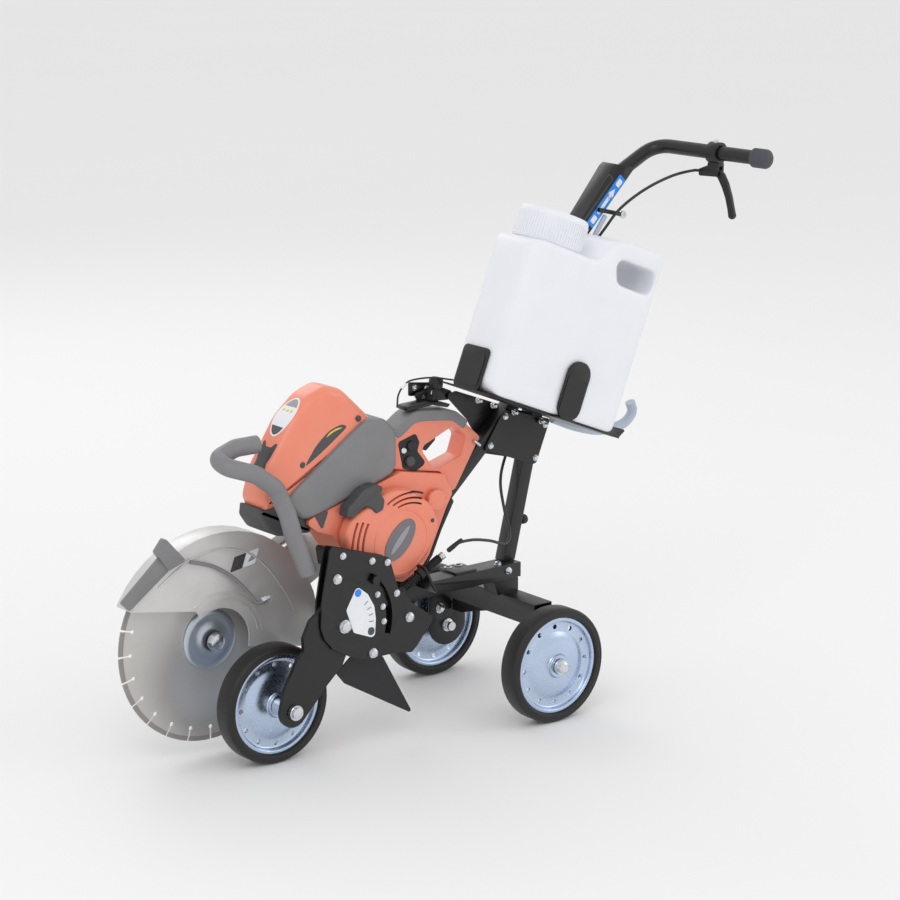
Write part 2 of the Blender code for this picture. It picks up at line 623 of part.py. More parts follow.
def tray_and_tank():
    along, up = tray_axes()
    foot = Vector((TRAY_AT[0], 0, TRAY_AT[1]))
    y0, y1 = TRAY_Y
    width = y1 - y0
    # Floor with a tab folded up at the front and one on the left, and the rear edge turned up.
    floor = [(-4, y0), (TRAY_LEN, y0), (TRAY_LEN, y1), (-4, y1)]
    tray = add("tray", sheet_bm([floor], foot - up * (TRAY_T + GAP), along, (0, 1, 0), up * TRAY_T),
               "frame", False)
    mid = TANK_Y
    front = rounded([(mid - 33.5, -2.0), (mid + 33.5, -2.0), (mid + 33.5, 72), (mid - 33.5, 72)], 9, 5)
    front_tab = sheet_bm([front], foot - along * (GAP + 3.2), (0, 1, 0), up, along * -0.0 + along * 3.0)
    boolean(tray, add("tray_front_tab", front_tab, "frame"), "UNION")
    edge = TANK_Y - TANK_W / 2 - GAP
    side = rounded([(150, -2.6), (203, -2.6), (203, 100), (150, 100)], 24, 6)
    side_tab = sheet_bm([side], foot + Vector((0, edge - 3.2, 0)), along, up, (0, 3, 0))
    boolean(tray, add("tray_side_tab", side_tab, "frame"), "UNION")
    lip = [(152, edge - 1.7), (201, edge - 1.7), (201, y0 + 3), (152, y0 + 3)]
    boolean(tray, add("tray_side_lip", sheet_bm([lip], foot - up * (TRAY_T + GAP - 0.3), along, (0, 1, 0),
                                                up * (TRAY_T - 0.6)), "frame"), "UNION")
    back = [(TRAY_LEN - 4, -2.7), (TRAY_LEN - 1, -2.9), (TRAY_LEN + 9, 12), (TRAY_LEN + 6, 14.5), (TRAY_LEN - 4, -1)]
    bm = sheet_bm([back], foot + Vector((0, y0 + 1, 0)), along, up, (0, width - 2, 0))
    boolean(tray, add("tray_back_lip", bm, "frame"), "UNION")

    # Tank: a moulded can with a raised rear, a screw neck and a grip through its back.
    w = TANK_W
    plan = rounded([(0, -w / 2), (TANK_L, -w / 2), (TANK_L, w / 2), (0, w / 2)], TANK_CORNER, 6)
    tank = add("tank", sheet_bm([plan], foot + Vector((0, TANK_Y, 0)), along, (0, 1, 0), up * TANK_REAR_H),
               "tank")
    shoulder = rounded([(-40, TANK_H), (150, TANK_H), (172, TANK_REAR_H - 6), (205, TANK_REAR_H + 2),
                        (205, TANK_REAR_H + 40), (-40, TANK_REAR_H + 40)], 12, 4)
    boolean(tank, add("tank_shoulder_cut",
                      sheet_bm([shoulder], foot + Vector((0, TANK_Y - w, 0)), along, up, (0, 2 * w, 0)), "tank"))
    grip = rounded([(186, TANK_REAR_H - 34), (292, TANK_REAR_H - 34), (286, TANK_REAR_H - 76),
                    (206, TANK_REAR_H - 76)], 14, 5)
    boolean(tank, add("tank_grip_cut",
                      sheet_bm([grip], foot + Vector((0, TANK_Y - w, 0)), along, up, (0, 2 * w, 0)), "tank"))
    neck_at = foot + along * CAP_AT + Vector((0, TANK_Y, 0)) + up * (TANK_H + 0)
    neck = turned("tank_neck", [(0, -10), (NECK_R, -10), (NECK_R, 20), (0, 20)], neck_at, "tank", axis=up)
    boolean(tank, neck, "UNION")
    inner = rounded([(5, -w / 2 + 5), (TANK_L - 5, -w / 2 + 5), (TANK_L - 5, w / 2 - 5), (5, w / 2 - 5)],
                    TANK_CORNER - 5, 6)
    hollow = add("tank_hollow", sheet_bm([inner], foot + Vector((0, TANK_Y, 0)) + up * 5, along, (0, 1, 0),
                                         up * (TANK_REAR_H - 76 - 12)), "tank")
    boolean(tank, hollow)
    boolean(tank, turned("tank_mouth", [(0, -60), (NECK_R - 5, -60), (NECK_R - 5, 30), (0, 30)], neck_at, "tank",
                         axis=up))
    cap_at = neck_at + up * GAP
    cap = [(0, 20.5), (NECK_R + RUN, 20.5), (NECK_R + RUN, 0), (CAP_R - 2, 0), (CAP_R, 2),
           (CAP_R, CAP_H - 3), (CAP_R - 4, CAP_H), (CAP_R - 12, CAP_H), (CAP_R - 14, CAP_H - 2),
           (0, CAP_H - 2)]
    turned("tank_cap", cap, cap_at, "tank", axis=up, n=30, origin=cap_at)
    return cap_at, up


# ================================ handle =======================================================
def handle():
    """Handle column, bar, end plug, lever and cable."""
    y0, y1 = MAST_Y - 17, MAST_Y + 18
    column = [(626, MAST_TOP_Z + GAP), (664, MAST_TOP_Z + GAP), (783, 920), (778, 926), (742, 934), (734, 929)]
    body = plate("handle_column", column, y0, y1, "frame")
    pocket = [(633, MAST_TOP_Z + 3.5), (661, MAST_TOP_Z + 3.5), (776, 919.5), (741, 926)]
    boolean(body, plate("column_pocket", pocket, y0 + 3, y1 + 3, "frame"))
    foot, bend, end = Vector(BAR_FOOT), Vector(BAR_BEND), Vector(BAR_END)
    boolean(body, rod("column_bore", foot, bend, BAR_R + RUN + 0.4, "frame", 32))
    tube("handle_bar", bent([foot, bend, end], 42, 8), BAR_R, "frame", 6)
    aim = (end - bend).normalized()
    plug_at = end - aim * 24
    plug = [(BAR_R + GAP + 0.3, 0), (GRIP_R - 1.5, 0), (GRIP_R, 2), (GRIP_R, 26), (GRIP_R - 3, 31), (6, 34.0), (0, 34.2)]
    inner = [(0, 24.6), (BAR_R + GAP + 0.3, 24.6)]
    turned("handle_plug", inner + plug, plug_at, "rubber", axis=aim, n=24)

    clamp_at = bend + (end - bend) * LEVER_AT
    ring_y = [(BAR_R + GAP + 0.3, -11), (BAR_R + 6, -11), (BAR_R + 6, 11), (BAR_R + GAP + 0.3, 11)]
    clamp = turned("lever_clamp", ring_y, clamp_at, "plastic", axis=aim, n=20, smooth=False)
    body_axis = Vector((0, 0, -1))
    drop = clamp_at + body_axis * (BAR_R + 4)
    side = aim.cross(body_axis).normalized()
    lug = rounded([(-11, 0), (11, 0), (11, 24), (-30, 26), (-30, 14), (-11, 6)], 3, 3)
    boolean(clamp, add("clamp_lug", sheet_bm([lug], drop - side * 9, aim, body_axis, side * 18), "plastic"),
            "UNION")
    slit = [(-34, 7), (12.5, 7), (12.5, 28), (-34, 28)]
    boolean(clamp, add("clamp_slit", sheet_bm([slit], drop - side * 4.5, aim, body_axis, side * 9), "plastic"))
    pivot = drop + body_axis * 17 + aim * 2
    boolean(clamp, rod("lever_pin", pivot - side * 9.6, pivot + side * 9.6, 3.0, "zinc", 16), "UNION")
    line = [(-9, 12.5), (8, 11), (19, 19), (28, 34), (36, 56), (42, 80), (45, 90), (40, 97), (32, 94), (29, 78),
            (24, 60), (16, 42), (6, 26), (-9, 22)]
    hole = [(2 + 3.4 * math.cos(a), 17 + 3.4 * math.sin(a)) for a in [2 * math.pi * k / 16 for k in range(16)]]
    bm = sheet_bm([rounded(line, 4, 3), hole], drop - side * 4.0, aim, body_axis, side * 8)
    add("lock_lever", bm, "alloy", False, origin=pivot)
    return drop, aim


def cables(tip, along, drop, aim):
    """Outer cable from the lever down the mast to the plunger."""
    start = drop + Vector((0, 0, -20)) - aim * 31
    end = tip + along * (LOCK_LEN + PULL + 1.0)
    knots = [start, start - aim * 12 + Vector((-2, 0, 1)), (806, -62, 916), (770, -32, 892), (738, -4, 858),
             (716, 12, 822), (694, 28, 784), (664, 44, 736), (632, 51, 676), (600, 52, 600), (566, 52, 510),
             (530, 53, 440), (506, 40, 396), (494, 14, 350), (498, 4, 310), (478, -6, 298), (432, -20, 314),
             (386, -32, 326), end + along * 22, end]
    tube("lock_cable", route(knots, 30), 2.6, "rubber", 2)


# ================================ saw ==========================================================
def blade_group():
    bx, bz = BLADE_AT
    outline = []
    for k in range(BLADE_SLOTS):
        a = 360.0 * k / BLADE_SLOTS
        gap = math.degrees(1.2 / BLADE_R)
        step = 360.0 / BLADE_SLOTS
        outline += arc(bx, bz, BLADE_R, a + gap, a + step - gap, 3)
        c = math.radians(a + step)
        cx, cz = bx + (BLADE_R - SLOT_DEPTH) * math.cos(c), bz + (BLADE_R - SLOT_DEPTH) * math.sin(c)
        deg = math.degrees(c)
        outline += arc(cx, cz, 4.0, deg - 22, deg - 338, 6)
    y0 = BLADE_Y - BLADE_T / 2
    y1 = BLADE_Y + BLADE_T / 2
    centre = (bx, BLADE_Y, bz)
    plate("blade", outline, y0, y1, "steel", [circle(bx, bz, ARBOR_R + GAP, 24)], origin=centre)
    c = (bx, 0, bz)
    outer = [(ARBOR_R + GAP, y0 - GAP), (FLANGE_R, y0 - GAP), (FLANGE_R, y0 - 4), (FLANGE_R - 5, y0 - 7),
             (22, y0 - 9), (ARBOR_R + GAP, y0 - 9)]
    turned("flange_outer", outer, c, "zinc")
    inner = [(ARBOR_R + GAP, y1 + GAP), (FLANGE_R, y1 + GAP), (FLANGE_R, y1 + 4), (22, y1 + 9),
             (ARBOR_R + GAP, y1 + 9)]
    turned("flange_inner", inner, c, "steel")
    head = y0 - 9 - GAP
    end = BELT_Y + BELT_W / 2 + 6
    shaft = [(0, head - 12), (11, head - 12), (11, head - 4), (18, head - 4), (18, head), (ARBOR_R, head),
             (ARBOR_R, end), (0, end)]
    turned("arbor", shaft, c, "steel", n=24)
    a, b = BELT_Y - BELT_W / 2, BELT_Y + BELT_W / 2
    groove = [(ARBOR_R + GAP, a - 2), (PULLEY_R + 4, a - 2), (PULLEY_R + 4, a - 0.4), (PULLEY_R, a - 0.4),
              (PULLEY_R, b + 0.4), (PULLEY_R + 4, b + 0.4), (PULLEY_R + 4, b + 2), (ARBOR_R + GAP, b + 2)]
    turned("blade_pulley", groove, c, "steel")
    clutch = [(0, a - 4), (CLUTCH_R + 4, a - 4), (CLUTCH_R + 4, a - 0.4), (CLUTCH_R, a - 0.4), (CLUTCH_R, b + 0.4),
              (CLUTCH_R + 4, b + 0.4), (CLUTCH_R + 4, b + 4), (0, b + 4)]
    cx, cz = CRANK_AT
    turned("clutch_pulley", clutch, (cx, 0, cz), "steel")


def belt_outline(extra):
    """The line of the belt round both pulleys, moved out by extra."""
    a, b = Vector(CRANK_AT), Vector(BLADE_AT)
    across = b - a
    tilt = math.degrees(math.atan2(across.y, across.x))
    ra, rb = CLUTCH_R + extra, PULLEY_R + extra
    lean = math.degrees(math.acos((ra - rb) / across.length))
    return (arc(*b, rb, tilt - lean, tilt + lean, 12) + arc(*a, ra, tilt + lean, tilt + 360 - lean, 9))


def drive():
    bx, bz = BLADE_AT
    cx, cz = CRANK_AT
    plate("drive_belt", belt_outline(BELT_SLACK + BELT_T), BELT_Y - BELT_W / 2, BELT_Y + BELT_W / 2, "rubber",
          [belt_outline(BELT_SLACK)], smooth=True)
    y0, y1 = ARM_Y
    arm = plate("drive_arm", belt_outline(14), y0, y1, "alloy",
                [circle(bx, bz, ARBOR_R + RUN, 24)])
    cover = plate("belt_cover", belt_outline(17), *COVER_Y, "grey")
    soften(cover, 5, 2)
    boolean(cover, plate("cover_hollow", belt_outline(13), COVER_Y[0] - 4, COVER_Y[1] - 3, "grey"))
    arm_foot = rounded([(150, 300), (150, 392), (210, 420), (312, 400), (326, 330), (286, 278), (210, 270)], 18, 5)
    boolean(arm, plate("arm_mount", arm_foot, ENGINE_Y[1] + GAP, y0 + WELD, "alloy"), "UNION")


def guard():
    bx, bz = BLADE_AT
    y0, y1 = GUARD_Y
    t = GUARD_T
    gx, gz = -53.0, 190.0
    outer_r, inner_r = GUARD_R, GUARD_R - t
    near = ([(-228, 284)] + arc(gx, gz, outer_r, 149, -5, 20)
            + [(108, 162), (0, 183)] + arc(bx, bz, FLANGE_R + 8, -8, 128, 12) + [(-102, 262)])
    body = plate("blade_guard", near, y0, y1, "alloy", origin=(bx, BLADE_Y, bz), smooth=False)
    hollow = ([(-300, 200)] + arc(gx, gz, inner_r, 168, -18, 24) + [(170, 80), (0, 60)])
    boolean(body, plate("guard_hollow", hollow, y0 + t, y1 - t, "alloy"))
    hub = circle(bx, bz, FLANGE_R + 12, 24)
    boolean(body, plate("guard_hub", hub, y1 - t, y1, "alloy"), "UNION")
    boolean(body, plate("guard_bore", circle(bx, bz, 30, 20), y1 - t - 1, y1 + 1, "alloy"))
    nozzle = rounded([(-168, 402), (-128, 357), (-162, 346), (-186, 380)], 4, 3)
    block = plate("water_nozzle", nozzle, y0 - 12, y0 - GAP, "grey")
    strip = rounded([(-178, 369), (-252, 306), (-236, 290), (-157, 346)], 3, 3)
    boolean(block, plate("nozzle_arm", strip, y0 - 7, y0 - 2, "steel"), "UNION")
    knots = [(-120, 76, 353), (-100, 74, 347), (-72, 73, 336), (-38, 72, 312), (-10, 70, 282), (6, 66, 262), (24, 62, 268)]
    tube("water_hose", route(knots, 12), 5.5, "rubber", 2)


def saw_body():
    """The engine unit with its covers, handles and small controls."""
    y0, y1 = ENGINE_Y
    engine = rounded([(118, 372), (146, 330), (206, 282), (262, 265.5), (292, 269.5), (321, 303), (341, 345), (358, 380),
                      (372, 404), (352, 440), (262, 458), (60, 404), (86, 384)], 9, 4)
    body = plate("engine_case", engine, y0, y1, "grey")
    soften(body, 3)
    along = main_axis()
    up = Vector((-along.z, 0, along.x))
    room = TUBE / 2 + 1.2
    start = Vector((MAIN_START[0], MAST_Y, MAIN_START[1])) - along * 3
    sq = [(-room, -room), (room, -room), (room, room), (-room, room)]
    boolean(body, add("tube_room_a", sheet_bm([sq], start, (0, 1, 0), up, along * 300), "grey"))
    band = rounded([(33, 431), (199, 540), (244, 524), (246, 473), (246, 461), (60, 406.5)], 8, 4)
    soften(plate("tank_band", band, y0 - 5, y1, "grey"), 4)
    cover = rounded([(118, 622), (146, 612), (198, 564), (224, 541), (198, 541), (38, 442), (-14, 431), (-22, 454),
                     (-6, 504), (10, 526), (42, 574), (82, 608)], 10, 4)
    soften(plate("top_cover", cover, y0 + 6, y1 - 6, "orange"), 9, 2, 30)
    front = rounded([(-26, 421), (-11, 401), (18, 389), (84, 384), (56, 404), (32, 425)], 5, 3)
    soften(plate("air_filter_base", front, y0 + 6, y1 - 6, "grey"), 3)
    s0, s1 = STARTER_Y
    shell = rounded([(324, 357), (299, 312), (251, 276), (186, 300), (148, 351), (166, 391), (225, 422), (255, 427),
                     (308, 394)], 14, 5)
    soften(plate("starter_cover", shell, s0, s1, "orange"), 6, 2)
    grip = rounded([(124, 412), (142, 438), (166, 447), (192, 450), (200, 424), (150, 402)], 6, 4)
    soften(plate("starter_grip", grip, s0 + 6, y0 - 6, "plastic", origin=(160, -8, 430)), 3)
    h0, h1 = HANDLE_Y
    outer = rounded([(252, 525), (300, 552), (382, 542), (441, 489), (431, 478), (385, 406), (374, 404), (354, 442),
                     (248, 463), (248, 524)], 9, 4)
    opening = rounded([(309, 490), (385, 520), (410, 495), (398, 462), (342, 446)], 10, 5)
    rear = plate("rear_handle", outer, h0, h1, "orange", [opening])
    soften(rear, 5, 2)
    boolean(rear, add("tube_room_b", sheet_bm([sq], start, (0, 1, 0), up, along * 300), "grey"))
    mid = (h0 + h1) / 2
    room = [(318, 488), (316, 512), (366, 526), (366, 500)]
    boolean(rear, plate("trigger_room", room, mid - 6.5, mid + 6.5, "orange"))
    trigger = rounded([(322, 501), (357, 509), (354, 494), (334, 478), (322, 486)], 3, 3)
    plate("throttle_trigger", trigger, mid - 5, mid + 5, "plastic", origin=(325, mid, 498))
    cap = [(0, -6), (17, -6), (18, -4), (18, 5.2), (15, 5.5), (0, 5.5)]
    turned("fuel_cap", cap, (330, 0, 400), "plastic", n=28, origin=(330, 0, 400))
    r = HANDLE_TUBE_R
    handle_pts = [(-8, y1 - 14, 540), (-50, y1 - 14, 540), (-92, y1 - 22, 530), (-94, 6, 522), (-52, -17, 508),
                  (-12, -17, 478), (10, -17, 430), (24, -17, 384), (50, -17, 326)]
    tube("front_handle", bent(handle_pts, 26, 4), r, "grey", 3)


def clamp():
    """The screw clamp that holds the saw by its rear handle."""
    y = MAST_Y + TUBE / 2 + GAP + 4 + GAP
    base = rounded([(322, 576), (367, 586), (404, 570), (396, 556), (331, 560)], 4, 3)
    plate("clamp_plate", base, y, y + 4, "frame", [circle(342, 569, 4.5, 16), circle(362, 573, 4.5, 16)])
    shoe = rounded([(286, 556), (340, 559), (372, 550.5), (380, 555.5), (372, 557.5), (330, 566), (284, 564)], 2, 3)
    plate("clamp_shoe", shoe, 20, y - GAP, "frame")
    stem = [(0, 0), (4, 0), (4, 20), (11, 21), (12.5, 26), (12.5, 34), (10, 40), (0, 41)]
    turned("clamp_knob", stem, (352, 34, 563.5), "plastic", axis=(0.2, 0, 1), n=20, origin=(352, 34, 563.5))


def centre_on_floor():
    """Move everything so that the origin is under the middle of the machine's box."""
    bpy.context.view_layer.update()
    graph = bpy.context.evaluated_depsgraph_get()
    low, high = Vector((1e9, 1e9, 1e9)), Vector((-1e9, -1e9, -1e9))
    for obj in bpy.data.objects:
        if obj.hide_render:
            continue
        shown = obj.evaluated_get(graph)
        mesh = shown.to_mesh()
        for vertex in mesh.vertices:
            at = obj.matrix_world @ vertex.co
            low = Vector(map(min, low, at))
            high = Vector(map(max, high, at))
        shown.to_mesh_clear()
    shift = Vector(((low.x + high.x) / 2, (low.y + high.y) / 2, low.z))
    for obj in bpy.data.objects:
        obj.location -= shift
    print("shift", [round(v, 5) for v in shift], "size", [round(v, 4) for v in high - low])


def main():
    clear_scene()
    wheels()
    tip, along = linkage()
    frame(tip, along)
    tray_and_tank()
    drop, aim = handle()
    cables(tip, along, drop, aim)
    blade_group()
    drive()
    guard()
    saw_body()
    clamp()
    centre_on_floor()


main()
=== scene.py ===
"""Looks of a walk-behind concrete saw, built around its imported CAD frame.

Each sub-assembly is a class that keeps its sizes as fields and dresses its own part of the machine.
Sizes in the classes are millimetres, measured from the floor under the front axle ("the datum").
"""
from __future__ import annotations

import json
import logging
import math
from dataclasses import dataclass, replace
from enum import Enum
from typing import Callable, Iterable, Sequence

import bmesh
import bpy
from mathutils import Matrix, Vector

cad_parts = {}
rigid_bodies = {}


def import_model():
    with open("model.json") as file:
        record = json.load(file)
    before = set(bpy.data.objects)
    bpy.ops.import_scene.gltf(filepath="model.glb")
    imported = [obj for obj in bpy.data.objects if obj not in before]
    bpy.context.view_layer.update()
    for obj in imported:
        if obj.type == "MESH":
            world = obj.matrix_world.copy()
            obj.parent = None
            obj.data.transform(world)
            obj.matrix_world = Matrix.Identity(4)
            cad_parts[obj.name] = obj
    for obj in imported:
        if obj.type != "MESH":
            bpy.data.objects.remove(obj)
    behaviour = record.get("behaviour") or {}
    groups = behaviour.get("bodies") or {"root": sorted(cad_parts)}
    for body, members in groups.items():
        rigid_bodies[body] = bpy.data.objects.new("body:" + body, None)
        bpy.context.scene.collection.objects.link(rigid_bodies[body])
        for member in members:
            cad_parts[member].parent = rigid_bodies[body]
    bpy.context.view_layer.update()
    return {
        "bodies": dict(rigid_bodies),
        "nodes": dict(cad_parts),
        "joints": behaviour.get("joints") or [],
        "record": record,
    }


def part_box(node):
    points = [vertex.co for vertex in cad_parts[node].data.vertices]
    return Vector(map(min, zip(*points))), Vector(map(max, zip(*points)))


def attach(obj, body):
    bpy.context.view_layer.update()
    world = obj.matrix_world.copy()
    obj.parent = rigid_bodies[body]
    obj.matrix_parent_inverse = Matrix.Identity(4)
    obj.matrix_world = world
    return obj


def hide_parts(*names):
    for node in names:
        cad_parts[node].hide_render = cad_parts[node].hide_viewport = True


LOG = logging.getLogger("concrete_saw")
MM = 0.001
Point = Sequence[float]


class Part(str, Enum):
    """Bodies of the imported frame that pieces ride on."""

    CART = "cart"
    DEPTH_ARM = "depth_arm"
    FRONT_WHEEL = "front_wheel"
    REAR_LEFT = "rear_left_wheel"
    REAR_RIGHT = "rear_right_wheel"
    BLADE = "blade_spindle"
    GUARD = "guard"
    LEVER = "lock_lever"
    PLUNGER = "lock_plunger"
    TRIGGER = "throttle_trigger"
    GRIP = "starter_grip"
    TANK_CAP = "tank_cap"
    FUEL_CAP = "fuel_cap"
    KNOB = "clamp_knob"
    CLUTCH = "clutch"


# ---------------------------------------------------------------------------------------------
# Finishes
# ---------------------------------------------------------------------------------------------
def linear(hex_colour: str, alpha: float = 1.0) -> tuple[float, float, float, float]:
    """Turn an sRGB hex value into linear light.

    Args:
        hex_colour: Six hex digits, with or without a leading '#'.
        alpha: Opacity to append.

    Returns:
        Linear red, green and blue, and the alpha.
    """
    text = hex_colour.lstrip("#")
    out = []
    for i in (0, 2, 4):
        value = int(text[i:i + 2], 16) / 255
        out.append(value / 12.92 if value <= 0.04045 else ((value + 0.055) / 1.055) ** 2.4)
    return (*out, alpha)


def add_node(tree: bpy.types.NodeTree, kind: str, settings: dict | None = None,
             values: dict | None = None) -> bpy.types.Node:
    """Add a node, set its options, and set or link its inputs.

    Args:
        tree: The node tree that gets the node.
        kind: Blender's name of the node type.
        settings: Options to set on the node.
        values: Input name or index to a value, or to an output socket to link from.

    Returns:
        The new node.
    """
    node = tree.nodes.new(kind)
    for key, value in (settings or {}).items():
        setattr(node, key, value)
    for key, value in (values or {}).items():
        if isinstance(value, bpy.types.NodeSocket):
            tree.links.new(value, node.inputs[key])
        else:
            node.inputs[key].default_value = value
    return node


@dataclass(frozen=True)
class Finish:
    """A real finish: colours, gloss, and the grain and mottling that its making leaves.

    grain_mm is the size of the surface texture, mottle_mm of slow colour drift.
    """

    name: str
    base: str
    tint: str
    roughness: float
    metallic: float = 0.0
    grain_mm: float = 0.8
    grain_depth: float = 0.12
    mottle_mm: float = 40.0
    rough_spread: float = 0.10
    brushed: tuple[float, float, float] = (1.0, 1.0, 1.0)
    coat: float = 0.0
    sheen: float = 0.0
    ior: float = 1.5
    subsurface: float = 0.0
    slot: str = ""

    def build(self) -> bpy.types.Material:
        """Return the finish as a material, made once."""
        made = bpy.data.materials.get(self.name)
        if made:
            return made
        made = bpy.data.materials.new(self.name)
        made.use_nodes = True
        tree = made.node_tree
        shader = tree.nodes["Principled BSDF"]
        where = add_node(tree, "ShaderNodeTexCoord").outputs["Object"]
        stretched = add_node(tree, "ShaderNodeMapping", None,
                             {"Vector": where, "Scale": self.brushed}).outputs["Vector"]
        drift = add_node(tree, "ShaderNodeTexNoise", None,
                         {"Vector": where, "Scale": 1000 / self.mottle_mm, "Detail": 4.0})
        grain = add_node(tree, "ShaderNodeTexNoise", None,
                         {"Vector": stretched, "Scale": 1000 / self.grain_mm, "Detail": 3.0})
        colour = add_node(tree, "ShaderNodeMix", {"data_type": "RGBA"},
                          {"Factor": drift.outputs["Fac"]})
        colour.inputs[6].default_value = linear(self.base)
        colour.inputs[7].default_value = linear(self.tint)
        tree.links.new(colour.outputs[2], shader.inputs["Base Color"])
        both = add_node(tree, "ShaderNodeMath", {"operation": "ADD"},
                        {0: drift.outputs["Fac"], 1: grain.outputs["Fac"]})
        rough = add_node(tree, "ShaderNodeMapRange", None,
                         {"Value": both.outputs[0], "From Min": 0.6, "From Max": 1.4,
                          "To Min": max(0.04, self.roughness - self.rough_spread),
                          "To Max": min(1.0, self.roughness + self.rough_spread)})
        tree.links.new(rough.outputs[0], shader.inputs["Roughness"])
        bump = add_node(tree, "ShaderNodeBump", None,
                        {"Height": grain.outputs["Fac"], "Strength": self.grain_depth,
                         "Distance": self.grain_mm * MM * 0.25})
        tree.links.new(bump.outputs[0], shader.inputs["Normal"])
        shader.inputs["Metallic"].default_value = self.metallic
        shader.inputs["Coat Weight"].default_value = self.coat
        shader.inputs["Coat Roughness"].default_value = 0.2
        shader.inputs["Sheen Weight"].default_value = self.sheen
        if not self.metallic:
            shader.inputs["IOR"].default_value = self.ior
        if self.subsurface:
            shader.inputs["Subsurface Weight"].default_value = self.subsurface
            shader.inputs["Subsurface Radius"].default_value = (0.012, 0.012, 0.013)
        return made


@dataclass(frozen=True)
class TurnedFinish(Finish):
    """A disc finish whose fine rings run round an axle along Y, as on ground or spun metal."""

    centre: tuple[float, float, float] = (0.0, 0.0, 0.0)
    ring_mm: float = 1.2
    ring_depth: float = 0.25

    def build(self) -> bpy.types.Material:
        """Return the plain finish with rings added to its bump."""
        known = bpy.data.materials.get(self.name)
        if known:
            return known
        made = super().build()
        tree = made.node_tree
        shader = tree.nodes["Principled BSDF"]
        where = add_node(tree, "ShaderNodeTexCoord").outputs["Object"]
        moved = add_node(tree, "ShaderNodeMapping", None,
                         {"Vector": where, "Location": tuple(-c for c in self.centre)})
        split = add_node(tree, "ShaderNodeSeparateXYZ", None, {0: moved.outputs[0]})
        flat = add_node(tree, "ShaderNodeCombineXYZ", None,
                        {0: split.outputs[0], 2: split.outputs[2]})
        radius = add_node(tree, "ShaderNodeVectorMath", {"operation": "LENGTH"},
                          {0: flat.outputs[0]})
        rings = add_node(tree, "ShaderNodeTexNoise", {"noise_dimensions": "1D"},
                         {"W": radius.outputs["Value"], "Scale": 1000 / self.ring_mm,
                          "Detail": 3.0})
        old = shader.inputs["Normal"].links[0].from_socket
        bump = add_node(tree, "ShaderNodeBump", None,
                        {"Height": rings.outputs["Fac"], "Strength": self.ring_depth,
                         "Distance": 0.0002, "Normal": old})
        tree.links.new(bump.outputs[0], shader.inputs["Normal"])
        return made


# Powder coat: satin black with a faint orange peel.
POWDER_COAT = Finish("powder_coat_black", "#0b0a0b", "#111011", 0.36, grain_mm=1.6,
                     grain_depth=0.12, coat=0.1,
                     slot="painted_frame")
# The engine's covers: injection-moulded nylon, fine spark texture, sun-softened orange.
ORANGE_NYLON = Finish("moulded_nylon_orange", "#f09078", "#ee8568", 0.36, grain_mm=0.7,
                      grain_depth=0.08, coat=0.25, subsurface=0.05,
                      slot="orange_cover")
GREY_NYLON = Finish("moulded_nylon_grey", "#858587", "#79797b", 0.46, grain_mm=0.7,
                    grain_depth=0.14,
                    slot="grey_moulding")
DARK_NYLON = Finish("moulded_nylon_charcoal", "#4d4c4e", "#444345", 0.5, grain_mm=0.7,
                    grain_depth=0.18,
                    slot="grey_moulding")
BLACK_NYLON = Finish("moulded_nylon_black", "#0d0d0e", "#151516", 0.42, grain_mm=0.6,
                     grain_depth=0.14,
                     slot="black_plastic")
# Guard and arm: die-cast aluminium, shot-blasted, so it scatters light softly.
CAST_ALUMINIUM = Finish("die_cast_aluminium", "#d9d8d7", "#cbc9c8", 0.36, metallic=0.45,
                        grain_mm=0.9, grain_depth=0.16,
                        slot="cast_alloy")
ZINC = Finish("bright_zinc_plate", "#dfe2e5", "#cfd3d8", 0.28, metallic=1.0, grain_mm=2.5,
              grain_depth=0.05, mottle_mm=12,
              slot="zinc_plate")
# Lock parts: spring steel and screws chemically blackened, with an oily gloss.
BLACK_OXIDE = Finish("black_oxide_steel", "#2c2b2c", "#3a393a", 0.32, metallic=0.8, grain_mm=1.0,
                     grain_depth=0.08, mottle_mm=8,
                     slot="zinc_plate")
DARK_STEEL = Finish("oiled_steel", "#6f6f72", "#5c5b5e", 0.38, metallic=0.9, grain_mm=1.0,
                    grain_depth=0.1,
                    slot="machined_steel")
# Pressed discs, blue-passivated: a cold tint that drifts, and faint rings from the press.
SPUN_ZINC = TurnedFinish("spun_zinc_plate", "#c9d8ee", "#b3c4dc", 0.27, metallic=1.0, grain_mm=5.0,
                         grain_depth=0.02, mottle_mm=45, rough_spread=0.04, ring_mm=3.0,
                         ring_depth=0.06,
                         slot="zinc_plate")
# Blade segments: hot-pressed metal powder with diamond grit standing proud.
SINTERED = Finish("sintered_diamond_segment", "#a9a5a0", "#979390", 0.6, metallic=0.5, grain_mm=1.0,
                  grain_depth=0.5)
TYRE_RUBBER = Finish("vulcanised_tyre_rubber", "#121113", "#1a191b", 0.56, grain_mm=1.2,
                     grain_depth=0.22, sheen=0.1,
                     slot="tyre_rubber")
SOFT_RUBBER = Finish("moulded_rubber_black", "#17161a", "#201f22", 0.52, grain_mm=0.8,
                     grain_depth=0.2,
                     slot="rubber")
GRIP_RUBBER = Finish("moulded_rubber_slate", "#4a4c55", "#3f414a", 0.6, grain_mm=0.9,
                     grain_depth=0.2,
                     slot="rubber")
CABLE_JACKET = Finish("pvc_cable_jacket", "#2e2d2f", "#252426", 0.38, grain_mm=1.0,
                      grain_depth=0.06,
                      slot="rubber")
